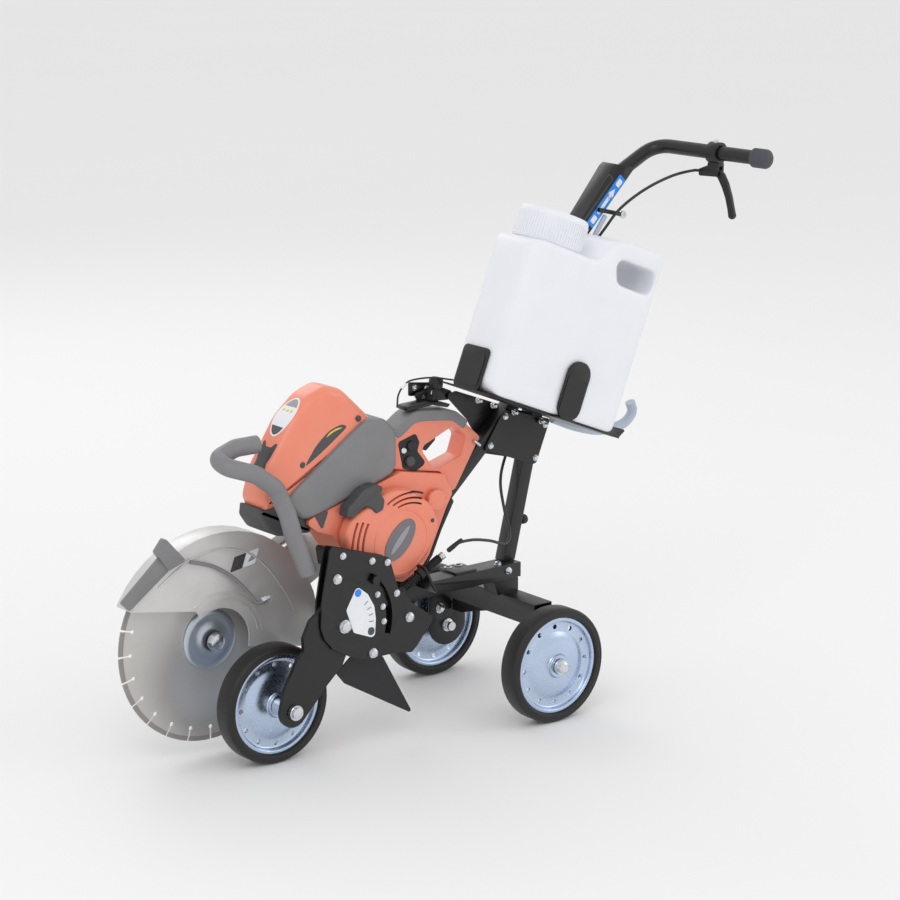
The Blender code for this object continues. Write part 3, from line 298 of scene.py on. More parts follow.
# Tank: blow-moulded polyethylene, milky, a little light passes into the wall.
POLYETHYLENE = Finish("blow_moulded_polyethylene", "#eff0f5", "#e7e9f0", 0.42, grain_mm=3.0,
                      grain_depth=0.05, mottle_mm=70, subsurface=0.3,
                      slot="tank_plastic")
PALE_POLYETHYLENE = Finish("pale_blue_polyethylene", "#b9c3d2", "#a9b5c7", 0.35, grain_mm=2.0,
                           grain_depth=0.05, subsurface=0.3,
                           slot="tank_plastic")
LABEL_WHITE = Finish("printed_film_white", "#eef0f4", "#e4e7ec", 0.3, grain_mm=4.0,
                     grain_depth=0.02, coat=0.4)
LABEL_BLUE = Finish("printed_film_blue", "#0d8cf5", "#0a84ea", 0.3, grain_mm=4.0,
                    grain_depth=0.02, coat=0.4)
LABEL_DARK = Finish("printed_film_dark", "#454446", "#3b3a3d", 0.32, grain_mm=4.0,
                    grain_depth=0.02, coat=0.4)
LABEL_GREY = Finish("printed_film_grey", "#9a9aa2", "#8f8f98", 0.32, grain_mm=4.0,
                    grain_depth=0.02, coat=0.4)
LABEL_SLATE = Finish("printed_film_slate", "#757276", "#6a676b", 0.34, grain_mm=4.0,
                     grain_depth=0.02, coat=0.3)
LABEL_YELLOW = Finish("printed_film_yellow", "#e6cf4a", "#dcc43e", 0.32, grain_mm=4.0,
                      grain_depth=0.02, coat=0.4)
FLOOR_PAINT = Finish("matt_studio_floor", "#f6f6f6", "#f4f4f4", 0.85, grain_mm=30.0,
                     grain_depth=0.0, mottle_mm=900)


# ---------------------------------------------------------------------------------------------
# Mesh kit
# ---------------------------------------------------------------------------------------------
@dataclass
class Bench:
    """Makes, dresses and seats pieces. Points are millimetres from the datum."""

    datum: Vector
    frame: dict

    def world(self, point: Point) -> Vector:
        """Return a point given in millimetres from the datum, in metres of the frame."""
        return self.datum + Vector(point) * MM

    def seat(self, name: str, mesh_source: bmesh.types.BMesh | bpy.types.Mesh, finish: Finish,
             part: Part, stands_for: Iterable[str] = (), sharp: float = 35.0,
             bevel: float = 0.0, segments: int = 2) -> bpy.types.Object:
        """Turn a mesh in frame metres into a finished piece that rides on a body.

        Args:
            name: Name of the piece.
            mesh_source: The piece's mesh, or a bmesh of it, which is freed.
            finish: What the piece is made of.
            part: The body that carries it.
            stands_for: CAD nodes that it replaces.
            sharp: Angle in degrees past which an edge stays crisp.
            bevel: Width of the broken edge in millimetres, 0 for none.
            segments: Faces across the broken edge.

        Returns:
            The finished object.
        """
        if isinstance(mesh_source, bmesh.types.BMesh):
            mesh = bpy.data.meshes.new(name)
            mesh_source.to_mesh(mesh)
            mesh_source.free()
        else:
            mesh = mesh_source
        obj = bpy.data.objects.new(name, mesh)
        bpy.context.scene.collection.objects.link(obj)
        if bevel:
            modifier = obj.modifiers.new("edge", "BEVEL")
            modifier.width = bevel * MM
            modifier.segments = segments
            modifier.limit_method = "ANGLE"
            modifier.angle_limit = math.radians(sharp)
            baked = plain_copy(obj)
            obj.modifiers.clear()
            obj.data = baked
            mesh = baked
        for face in mesh.polygons:
            face.use_smooth = True
        mesh.set_sharp_from_angle(angle=math.radians(sharp))
        mesh.materials.clear()
        mesh.materials.append(finish.build())
        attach(obj, part.value)
        nodes = tuple(stands_for)
        if nodes:
            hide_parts(*nodes)
        LOG.info("%s: %d faces on %s", name, len(mesh.polygons), part.value)
        return obj

    def refine(self, node: str, finish: Finish, part: Part, bevel: float = 0.6,
               sharp: float = 35.0, segments: int = 2) -> bpy.types.Object:
        """Stand a merged copy of a CAD node, with broken edges, in the node's place.

        Args:
            node: The CAD node.
            finish: What it is made of.
            part: Its body.
            bevel: Width of the broken edge in millimetres.
            sharp: Angle in degrees past which an edge is broken.
            segments: Faces across the broken edge.

        Returns:
            The finished object.
        """
        source = self.frame["nodes"][node]
        bm = bmesh.new()
        bm.from_mesh(source.data)
        bmesh.ops.remove_doubles(bm, verts=bm.verts, dist=1e-5)
        bmesh.ops.dissolve_limit(bm, angle_limit=math.radians(0.6), verts=bm.verts,
                                 edges=bm.edges)
        return self.seat(f"{node}_body", bm, finish, part, [node], sharp, bevel, segments)


def plain_copy(obj: bpy.types.Object) -> bpy.types.Mesh:
    """Return the object's evaluated shape as a mesh of its own."""
    bpy.context.view_layer.update()
    graph = bpy.context.evaluated_depsgraph_get()
    return bpy.data.meshes.new_from_object(obj.evaluated_get(graph), depsgraph=graph)


def circle(cx: float, cz: float, radius: float, count: int = 48) -> list[tuple[float, float]]:
    """Return points round a circle."""
    return [(cx + radius * math.cos(math.tau * k / count),
             cz + radius * math.sin(math.tau * k / count)) for k in range(count)]


def arc(cx: float, cz: float, radius: float, start: float, end: float,
        count: int = 24) -> list[tuple[float, float]]:
    """Return points along an arc, with its angles in degrees."""
    step = math.radians(end - start) / count
    first = math.radians(start)
    return [(cx + radius * math.cos(first + step * k), cz + radius * math.sin(first + step * k))
            for k in range(count + 1)]


def smooth_outline(knots: Sequence[Point], per_span: int = 8, rounds: int = 3) -> list[Vector]:
    """Return a closed outline with its corners cut smooth.

    Args:
        knots: Corners of the outline.
        per_span: Points between two corners before the smoothing.
        rounds: Times each point moves to the middle of its neighbours.

    Returns:
        The smoothed points.
    """
    dense = []
    for i, knot in enumerate(knots):
        following = Vector(knots[(i + 1) % len(knots)])
        here = Vector(knot)
        dense += [here.lerp(following, k / per_span) for k in range(per_span)]
    for _ in range(rounds):
        count = len(dense)
        dense = [(dense[i - 1] + dense[i] * 2 + dense[(i + 1) % count]) / 4 for i in range(count)]
    return dense


def rounded(points: Sequence[Point], radius: float, count: int = 6) -> list[tuple[float, float]]:
    """Return an outline with an arc of the radius at each corner, as far as it fits."""
    out = []
    total = len(points)
    for i, here in enumerate(points):
        p = Vector(here)
        back = Vector(points[i - 1]) - p
        ahead = Vector(points[(i + 1) % total]) - p
        half = back.angle(ahead) / 2
        if half > math.radians(86):
            out.append(tuple(p))
            continue
        cut = min(radius / math.tan(half), 0.45 * min(back.length, ahead.length))
        r = cut * math.tan(half)
        centre = p + (back.normalized() + ahead.normalized()).normalized() * (r / math.sin(half))
        a = p + back.normalized() * cut - centre
        b = p + ahead.normalized() * cut - centre
        turn = a.angle_signed(b)
        out += [tuple(centre + Matrix.Rotation(-turn * k / count, 2) @ a)
                for k in range(count + 1)]
    return out


def sheet(loops: Sequence[Sequence[Point]], place: Callable[[float, float], Vector],
          depth: Vector) -> bmesh.types.BMesh:
    """Fill an outline with its holes and pull it into a solid.

    Args:
        loops: The outline, then its holes.
        place: Turns an outline point into a place in frame metres.
        depth: How far and which way the face is pulled, in metres.

    Returns:
        A closed bmesh.
    """
    bm = bmesh.new()
    edges = []
    for loop in loops:
        verts = [bm.verts.new(place(p[0], p[1])) for p in loop]
        edges += [bm.edges.new((verts[i - 1], verts[i])) for i in range(len(verts))]
    if len(loops) == 1:
        bm.faces.new(bm.verts)
    else:
        bmesh.ops.triangle_fill(bm, use_beauty=True, use_dissolve=True, edges=edges)
    pulled = bmesh.ops.extrude_face_region(bm, geom=bm.faces[:], use_keep_orig=True)
    moved = [g for g in pulled["geom"] if isinstance(g, bmesh.types.BMVert)]
    bmesh.ops.translate(bm, verts=moved, vec=depth)
    bmesh.ops.recalc_face_normals(bm, faces=bm.faces)
    return bm


def pillow(outline: Sequence[Point], y_near: float, y_far: float, crown: float, bench: Bench,
           steps: int = 6) -> bmesh.types.BMesh:
    """Return a moulded shell: an XZ outline with both rims rounded over.

    Args:
        outline: Dense closed outline in millimetres.
        y_near: Lowest Y in millimetres.
        y_far: Highest Y in millimetres.
        crown: Radius of the rounded rims.
        bench: Gives the datum.
        steps: Rings across each rim.

    Returns:
        A closed bmesh.
    """
    pts = [Vector(p) for p in outline]
    count = len(pts)
    area = sum(pts[i - 1].x * pts[i].y - pts[i].x * pts[i - 1].y for i in range(count))
    sign = 1.0 if area > 0 else -1.0
    inward = []
    for i in range(count):
        way = pts[(i + 1) % count] - pts[i - 1]
        inward.append(Vector((-way.y, way.x)).normalized() * sign)
    for _ in range(4):
        inward = [(inward[i - 1] + inward[i] * 2 + inward[(i + 1) % count]).normalized()
                  for i in range(count)]
    rings = []
    for k in range(steps + 1):
        a = math.pi / 2 * k / steps
        rings.append((crown * (1 - math.sin(a)), y_near + crown * (1 - math.cos(a))))
    rings += [(inset, y_near + y_far - y) for inset, y in reversed(rings)]
    bm = bmesh.new()
    layers = []
    for inset, y in rings:
        layers.append([bm.verts.new(bench.world((p.x + n.x * inset, y, p.y + n.y * inset)))
                       for p, n in zip(pts, inward)])
    for low, high in zip(layers, layers[1:]):
        for i in range(count):
            bm.faces.new((low[i - 1], low[i], high[i], high[i - 1]))
    bm.faces.new(layers[0])
    bm.faces.new(layers[-1])
    bmesh.ops.recalc_face_normals(bm, faces=bm.faces)
    return bm


def turned(profile: Sequence[Point], centre: Vector, axis: Vector,
           count: int = 72) -> bmesh.types.BMesh:
    """Turn (radius, height) points in millimetres round an axis.

    Args:
        profile: Points of the profile. A radius of 0 closes an end.
        centre: Where height 0 is, in frame metres.
        axis: Direction of the axis.
        count: Faces round the piece.

    Returns:
        A closed bmesh.
    """
    axis = axis.normalized()
    side = axis.orthogonal().normalized()
    other = axis.cross(side)
    bm = bmesh.new()
    rings = []
    for radius, height in profile:
        at = centre + axis * height * MM
        if radius == 0:
            rings.append([bm.verts.new(at)])
            continue
        rings.append([bm.verts.new(at + (side * math.cos(math.tau * k / count)
                                         + other * math.sin(math.tau * k / count)) * radius * MM)
                      for k in range(count)])
    for i in range(0 if profile[0][0] > 0 else 1, len(rings)):
        a, b = rings[i - 1], rings[i]
        for k in range(count):
            j = (k + 1) % count
            if len(a) == 1:
                bm.faces.new((a[0], b[k], b[j]))
            elif len(b) == 1:
                bm.faces.new((a[k], a[j], b[0]))
            else:
                bm.faces.new((a[k], a[j], b[j], b[k]))
    bmesh.ops.recalc_face_normals(bm, faces=bm.faces)
    return bm


def swept(points: Sequence[Vector], radii: Sequence[float] | float, sides: int = 24,
          squash: float = 1.0) -> bmesh.types.BMesh:
    """Sweep a round section along a line of places in frame metres.

    Args:
        points: The line.
        radii: One radius in millimetres, or one for each point.
        sides: Faces round the section.
        squash: Height of the section over its width.

    Returns:
        A closed bmesh.
    """
    sizes = [radii] * len(points) if isinstance(radii, (int, float)) else list(radii)
    bm = bmesh.new()
    rings = []
    along = (points[1] - points[0]).normalized()
    side = along.orthogonal().normalized()
    for i, at in enumerate(points):
        ahead = (points[min(i + 1, len(points) - 1)] - points[max(i - 1, 0)]).normalized()
        side = (side - ahead * side.dot(ahead)).normalized()
        up = ahead.cross(side)
        rings.append([bm.verts.new(at + (side * math.cos(math.tau * k / sides)
                                         + up * math.sin(math.tau * k / sides) * squash)
                                   * sizes[i] * MM) for k in range(sides)])
    for low, high in zip(rings, rings[1:]):
        for k in range(sides):
            bm.faces.new((low[k - 1], low[k], high[k], high[k - 1]))
    bm.faces.new(rings[0])
    bm.faces.new(rings[-1])
    bmesh.ops.recalc_face_normals(bm, faces=bm.faces)
    return bm


def flowing(knots: Sequence[Vector], step_mm: float) -> list[Vector]:
    """Return a smooth line through the knots, with a point about every step."""
    pts = [knots[0] * 2 - knots[1], *knots, knots[-1] * 2 - knots[-2]]
    out = []
    for a, b, c, d in zip(pts, pts[1:], pts[2:], pts[3:]):
        count = max(2, round((c - b).length / (step_mm * MM)))
        for k in range(count):
            t = k / count
            out.append(0.5 * (2 * b + (c - a) * t + (2 * a - 5 * b + 4 * c - d) * t * t
                              + (3 * b - a - 3 * c + d) * t ** 3))
    return [*out, knots[-1]]


def bent(corners: Sequence[Vector], radius_mm: float, count: int = 14) -> list[Vector]:
    """Return a line through corners that are rounded by a radius."""
    out = [corners[0]]
    for last, p, following in zip(corners, corners[1:], corners[2:]):
        u, v = (last - p).normalized(), (following - p).normalized()
        half = u.angle(v) / 2
        cut = min(radius_mm * MM / math.tan(half), 0.48 * (last - p).length,
                  0.48 * (following - p).length)
        for k in range(count + 1):
            t = k / count
            out.append((p + u * cut) * (1 - t) ** 2 + p * 2 * t * (1 - t) + (p + v * cut) * t * t)
    return [*out, corners[-1]]


# ---------------------------------------------------------------------------------------------
# Geometry Nodes
# ---------------------------------------------------------------------------------------------
class Repeater:
    """Geometry Nodes trees that set out repeated hardware, baked to plain meshes."""

    def __init__(self, bench: Bench) -> None:
        """Keep the bench and the trees made so far."""
        self.bench = bench
        self.trees: dict[str, bpy.types.NodeTree] = {}

    def _tree(self, name: str, sockets: dict[str, tuple[str, object]]) -> tuple:
        """Start a tree with named inputs and return it with its group input and output."""
        tree = bpy.data.node_groups.new(name, "GeometryNodeTree")
        tree.interface.new_socket("Geometry", in_out="INPUT", socket_type="NodeSocketGeometry")
        for label, (kind, value) in sockets.items():
            made = tree.interface.new_socket(label, in_out="INPUT", socket_type=kind)
            if value is not None:
                made.default_value = value
        tree.interface.new_socket("Geometry", in_out="OUTPUT", socket_type="NodeSocketGeometry")
        return tree, tree.nodes.new("NodeGroupInput"), tree.nodes.new("NodeGroupOutput")

    @staticmethod
    def _finish_tree(tree: bpy.types.NodeTree, start: bpy.types.Node, end: bpy.types.Node,
                     instances: bpy.types.NodeSocket) -> None:
        """End a tree in Realize Instances and Set Material."""
        real = add_node(tree, "GeometryNodeRealizeInstances", None, {0: instances})
        dressed = add_node(tree, "GeometryNodeSetMaterial", None,
                           {"Geometry": real.outputs[0], "Material": start.outputs["Material"]})
        tree.links.new(dressed.outputs[0], end.inputs[0])

    def heads_tree(self) -> bpy.types.NodeTree:
        """Return the tree that stands a hexagon head with its washer on each point."""
        if "heads" in self.trees:
            return self.trees["heads"]
        tree, start, end = self._tree("bolt_heads", {
            "Material": ("NodeSocketMaterial", None), "Radius": ("NodeSocketFloat", 0.006),
            "Height": ("NodeSocketFloat", 0.004), "Sides": ("NodeSocketInt", 6),
            "Turn": ("NodeSocketRotation", None)})
        head = add_node(tree, "GeometryNodeMeshCylinder", None,
                        {"Vertices": start.outputs["Sides"], "Radius": start.outputs["Radius"],
                         "Depth": start.outputs["Height"]})
        wide = add_node(tree, "ShaderNodeMath", {"operation": "MULTIPLY"},
                        {0: start.outputs["Radius"], 1: 1.25})
        thin = add_node(tree, "ShaderNodeMath", {"operation": "MULTIPLY"},
                        {0: start.outputs["Height"], 1: 0.35})
        washer = add_node(tree, "GeometryNodeMeshCylinder", None,
                          {"Vertices": 32, "Radius": wide.outputs[0], "Depth": thin.outputs[0]})
        drop = add_node(tree, "ShaderNodeMath", {"operation": "MULTIPLY"},
                        {0: start.outputs["Height"], 1: -0.5})
        down = add_node(tree, "ShaderNodeCombineXYZ", None, {2: drop.outputs[0]})
        low = add_node(tree, "GeometryNodeTransform", None,
                       {"Geometry": washer.outputs[0], "Translation": down.outputs[0]})
        small = add_node(tree, "ShaderNodeMath", {"operation": "MULTIPLY"},
                         {0: start.outputs["Radius"], 1: 0.62})
        dome = add_node(tree, "GeometryNodeMeshCone", None,
                        {"Vertices": 24, "Radius Top": small.outputs[0],
                         "Radius Bottom": start.outputs["Radius"], "Depth": thin.outputs[0]})
        rise = add_node(tree, "ShaderNodeMath", {"operation": "MULTIPLY"},
                        {0: start.outputs["Height"], 1: 0.5})
        up = add_node(tree, "ShaderNodeCombineXYZ", None, {2: rise.outputs[0]})
        high = add_node(tree, "GeometryNodeTransform", None,
                        {"Geometry": dome.outputs[0], "Translation": up.outputs[0]})
        joined = tree.nodes.new("GeometryNodeJoinGeometry")
        for piece in (head.outputs[0], low.outputs[0], high.outputs[0]):
            tree.links.new(piece, joined.inputs[0])
        spread = add_node(tree, "GeometryNodeInstanceOnPoints", None,
                          {"Points": start.outputs["Geometry"], "Instance": joined.outputs[0],
                           "Rotation": start.outputs["Turn"]})
        self._finish_tree(tree, start, end, spread.outputs[0])
        self.trees["heads"] = tree
        return tree

    def ring_tree(self) -> bpy.types.NodeTree:
        """Return the tree that stands bars on an arc, each pointing away from its centre."""
        if "ring" in self.trees:
            return self.trees["ring"]
        tree, start, end = self._tree("bars_on_arc", {
            "Material": ("NodeSocketMaterial", None), "Count": ("NodeSocketInt", 12),
            "Radius": ("NodeSocketFloat", 0.05), "Start": ("NodeSocketFloat", 0.0),
            "Sweep": ("NodeSocketFloat", math.tau), "Bar": ("NodeSocketVector", (0.01, 0.001, 0.001))})
        path = add_node(tree, "GeometryNodeCurveArc", None,
                        {"Resolution": start.outputs["Count"], "Radius": start.outputs["Radius"],
                         "Start Angle": start.outputs["Start"], "Sweep Angle": start.outputs["Sweep"]})
        points = add_node(tree, "GeometryNodeCurveToPoints", {"mode": "EVALUATED"},
                          {"Curve": path.outputs[0]})
        place = tree.nodes.new("GeometryNodeInputPosition")
        facing = add_node(tree, "FunctionNodeAlignRotationToVector", {"axis": "X", "pivot_axis": "Z"},
                          {"Vector": place.outputs[0]})
        bar = add_node(tree, "GeometryNodeMeshCube", None, {"Size": start.outputs["Bar"]})
        spread = add_node(tree, "GeometryNodeInstanceOnPoints", None,
                          {"Points": points.outputs[0], "Instance": bar.outputs[0],
                           "Rotation": facing.outputs[0]})
        self._finish_tree(tree, start, end, spread.outputs[0])
        self.trees["ring"] = tree
        return tree

    def run(self, name: str, tree: bpy.types.NodeTree, values: dict[str, object],
            finish: Finish, part: Part, points: Sequence[Vector] = (),
            turn: Matrix | None = None) -> bpy.types.Object:
        """Evaluate a tree and seat its result.

        Args:
            name: Name of the piece.
            tree: The Geometry Nodes tree.
            values: Input name to value.
            finish: What the piece is made of.
            part: The body that carries it.
            points: Places in frame metres for a tree that reads them.
            turn: Where the result goes, for a tree that works at the origin.

        Returns:
            The finished object.
        """
        mesh = bpy.data.meshes.new(name)
        mesh.from_pydata([tuple(p) for p in points], [], [])
        carrier = bpy.data.objects.new(f"{name}_layout", mesh)
        bpy.context.scene.collection.objects.link(carrier)
        modifier = carrier.modifiers.new("layout", "NODES")
        modifier.node_group = tree
        inputs = {s.name: s.identifier for s in tree.interface.items_tree if s.in_out == "INPUT"}
        modifier[inputs["Material"]] = finish.build()
        for label, value in values.items():
            modifier[inputs[label]] = value
        baked = plain_copy(carrier)
        bpy.data.objects.remove(carrier, do_unlink=True)
        if turn is not None:
            baked.transform(turn)
        return self.bench.seat(name, baked, finish, part)

    def heads(self, name: str, spots: Sequence[Point], facing: Vector, radius: float,
              finish: Finish, part: Part, height: float = 4.0, sides: int = 6) -> None:
        """Stand bolt heads on spots given in millimetres, all facing one way."""
        places = [self.bench.world(s) + facing.normalized() * height * MM * 0.5 for s in spots]
        turn = facing.to_track_quat("Z", "Y").to_euler()
        self.run(name, self.heads_tree(),
                 {"Radius": radius * MM, "Height": height * MM, "Sides": sides,
                  "Turn": tuple(turn)}, finish, part, places)


def place_on(centre: Vector, x_way: Vector, z_way: Vector) -> Matrix:
    """Return the matrix that puts a layout made in XY at a place, with its Z along z_way."""
    z = z_way.normalized()
    x = (x_way - z * x_way.dot(z)).normalized()
    y = z.cross(x)
    turn = Matrix((x, y, z)).transposed().to_4x4()
    return Matrix.Translation(centre) @ turn


def joined(*parts: bmesh.types.BMesh) -> bmesh.types.BMesh:
    """Put several meshes in one, and free them."""
    out = bmesh.new()
    for bm in parts:
        spare = bpy.data.meshes.new("spare")
        bm.to_mesh(spare)
        bm.free()
        out.from_mesh(spare)
        bpy.data.meshes.remove(spare)
    return out


def carved(body: bmesh.types.BMesh, cutter: bmesh.types.BMesh,
           operation: str = "DIFFERENCE") -> bmesh.types.BMesh:
    """Return the body with the cutter taken away or joined on, and free both."""
    objects = []
    for bm in (body, cutter):
        mesh = bpy.data.meshes.new("carving")
        bm.to_mesh(mesh)
        bm.free()
        obj = bpy.data.objects.new("carving", mesh)
        bpy.context.scene.collection.objects.link(obj)
        objects.append(obj)
    modifier = objects[0].modifiers.new("cut", "BOOLEAN")
    modifier.operation = operation
    modifier.solver = "EXACT"
    modifier.object = objects[1]
    baked = plain_copy(objects[0])
    for obj in objects:
        bpy.data.objects.remove(obj, do_unlink=True)
    out = bmesh.new()
    out.from_mesh(baked)
    bpy.data.meshes.remove(baked)
    return out


def film(target: bpy.types.Object, outline: Sequence[Point], centre: Vector, u: Vector,
         v: Vector, thick: float = 0.3, rings: int = 6) -> bmesh.types.BMesh:
    """Return a printed film that lies on a surface.

    Args:
        target: The piece it sticks to.
        outline: Closed outline in millimetres along u and v. Its middle must see all of it.
        centre: Where the outline's own origin is, in frame metres, near the surface.
        u: First direction of the outline.
        v: Second direction. The film is seen from u cross v.
        thick: Height above the surface in millimetres.
        rings: Rings of points between the middle and the rim, which follow a curved surface.

    Returns:
        A closed bmesh.
    """
    u, v = u.normalized(), v.normalized()
    out = u.cross(v).normalized()
    matrix = target.matrix_world.inverted()
    pts = [Vector(p) for p in outline]
    middle = sum(pts, Vector((0, 0))) / len(pts)
    bm = bmesh.new()

    def drop(p: Vector) -> tuple[bool, Vector, Vector]:
        """Cast a point of the outline on the surface: whether it lands, where, and the normal."""
        at = centre + (u * p.x + v * p.y) * MM
        hit, spot, normal, _index = target.ray_cast(matrix @ (at + out * 0.03), -out)
        return hit, spot if hit else at, normal

    def kept(p: Vector) -> Vector:
        """Pull a point towards the middle until it lands on a face that still looks outwards."""
        for k in range(30):
            nearer = p.lerp(middle, k / 30)
            hit, _spot, normal = drop(nearer)
            if hit and normal.dot(out) > 0.35:
                return nearer
        return p

    def seat(p: Vector, lift: float) -> bmesh.types.BMVert:
        """Return a vertex above the surface at a point of the outline."""
        return bm.verts.new(drop(p)[1] + out * lift * MM)

    pts = [kept(p) for p in pts]

    layers = []
    for lift in (thick, -0.15):
        grid = [[seat(middle.lerp(p, k / rings), lift) for p in pts] for k in range(1, rings + 1)]
        layers.append((seat(middle, lift), grid))
    count = len(pts)
    for hub, grid in layers:
        for i in range(count):
            bm.faces.new((hub, grid[0][i - 1], grid[0][i]))
        for low, high in zip(grid, grid[1:]):
            for i in range(count):
                bm.faces.new((low[i - 1], low[i], high[i], high[i - 1]))
    top, bottom = layers[0][1][-1], layers[1][1][-1]
    for i in range(count):
        bm.faces.new((top[i - 1], top[i], bottom[i], bottom[i - 1]))
    bmesh.ops.recalc_face_normals(bm, faces=bm.faces)
    return bm


def ellipse(a: float, b: float, tilt: float = 0.0, count: int = 64) -> list[tuple[float, float]]:
    """Return points round an ellipse turned by an angle in degrees."""
    turn = math.radians(tilt)
    out = []
    for k in range(count):
        t = math.tau * k / count
        x, z = a * math.cos(t), b * math.sin(t)
        out.append((x * math.cos(turn) - z * math.sin(turn), x * math.sin(turn) + z * math.cos(turn)))
    return out


X, Y, Z = Vector((1, 0, 0)), Vector((0, 1, 0)), Vector((0, 0, 1))
NEAR = -Y


@dataclass
class SubAssembly:
    """A group of the machine with its own sizes, built on the shared bench."""

    bench: Bench
    repeat: Repeater

    def flat(self, outline: Sequence[Point], y0: float, y1: float,
             holes: Sequence[Sequence[Point]] = ()) -> bmesh.types.BMesh:
        """Return a plate drawn in XZ between two Y values in millimetres."""
        return sheet([outline, *holes], lambda x, z: self.bench.world((x, y0, z)),
                     Y * (y1 - y0) * MM)

    def lathe(self, profile: Sequence[Point], at: Point, axis: Vector = Y,
              count: int = 64) -> bmesh.types.BMesh:
        """Return a turned piece round an axis through a point in millimetres."""
        return turned(profile, self.bench.world(at), axis, count)

    def rod(self, a: Point, b: Point, radius: float, count: int = 32) -> bmesh.types.BMesh:
        """Return a round bar with broken ends between two points in millimetres."""
        start, end = self.bench.world(a), self.bench.world(b)
        length = (end - start).length / MM
        edge = min(0.8, radius * 0.3)
        profile = [(0, 0), (radius - edge, 0), (radius, edge), (radius, length - edge),
                   (radius - edge, length), (0, length)]
        return turned(profile, start, end - start, count)


# ---------------------------------------------------------------------------------------------
# Wheels and depth linkage
# ---------------------------------------------------------------------------------------------


@dataclass
class Wheel(SubAssembly):
    """A solid rubber tyre on a pressed, zinc-plated disc with a bored hub."""

    name: str
    at: Point
    part: Part
    tyre_radius: float = 101.5
    rim_radius: float = 85.0
    half_width: float = 20.0
    hub_radius: float = 20.0
    bore: float = 8.4
    hole_count: int = 12
    hole_radius: float = 4.3
    hole_circle: float = 68.0

    def build(self) -> None:
        """Make the tyre and the disc."""
        r, w, seat = self.tyre_radius, self.half_width, self.rim_radius + 0.3
        tyre = [(seat, -w + 4), (seat + 1.5, -w + 1), (seat + 4, -w), (r - 9, -w), (r - 8, -w + 0.7),
                (r - 7, -w + 0.7), (r - 6, -w + 0.2), (r - 3.2, -w + 1.4), (r - 1.2, -w + 3.6),
                (r, -w + 7)]
        tyre += [(radius, -h) for radius, h in reversed(tyre)]
        self.bench.seat(f"{self.name}_tyre_tread", self.lathe(tyre, self.at, Y, 120), TYRE_RUBBER,
                        self.part, [f"{self.name}_tyre"], sharp=50)
        centre = tuple(self.bench.world(self.at))
        spun = replace(SPUN_ZINC, name=f"{SPUN_ZINC.name}_{self.name}", centre=centre)
        hub, rim = self.hub_radius, self.rim_radius
        face = [(self.bore, -w + 3), (13.5, -w + 3), (14, -w), (hub - 0.6, -w), (hub, -w + 0.6),
                (hub + 0.4, -w + 3.4), (hub + 2, -w + 5), (27, -w + 5.4), (36, -w + 6), (46, -w + 7.4),
                (53, -w + 9.4), (58, -w + 11.8), (61, -w + 12.8), (63, -w + 13), (73, -w + 13),
                (75.4, -w + 12.4), (76.8, -w + 11), (77.4, -w + 9), (77.8, -w + 6.4), (78.6, -w + 5),
                (80, -w + 4.4), (rim - 1.4, -w + 4.4), (rim - 0.4, -w + 4.9), (rim, -w + 6)]
        back = [(rim, w - 5.5), (rim - 1, w - 5), (79, w - 5), (78, w - 6), (75.5, -w + 18),
                (61, -w + 17), (54, -w + 15), (hub + 2, -w + 12), (hub, w - 3), (hub - 1, w - 2), (self.bore, w - 2)]
        disc = self.lathe(face + back, self.at, Y, 120)
        x, y, z = self.at
        cutters = [self.rod((px, y - w - 5, pz), (px, y + w, pz), self.hole_radius, 20)
                   for px, pz in circle(x, z, self.hole_circle, self.hole_count)]
        disc = carved(disc, joined(*cutters))
        self.bench.seat(f"{self.name}_rim_disc", disc, spun, self.part, [f"{self.name}_rim"], 40)


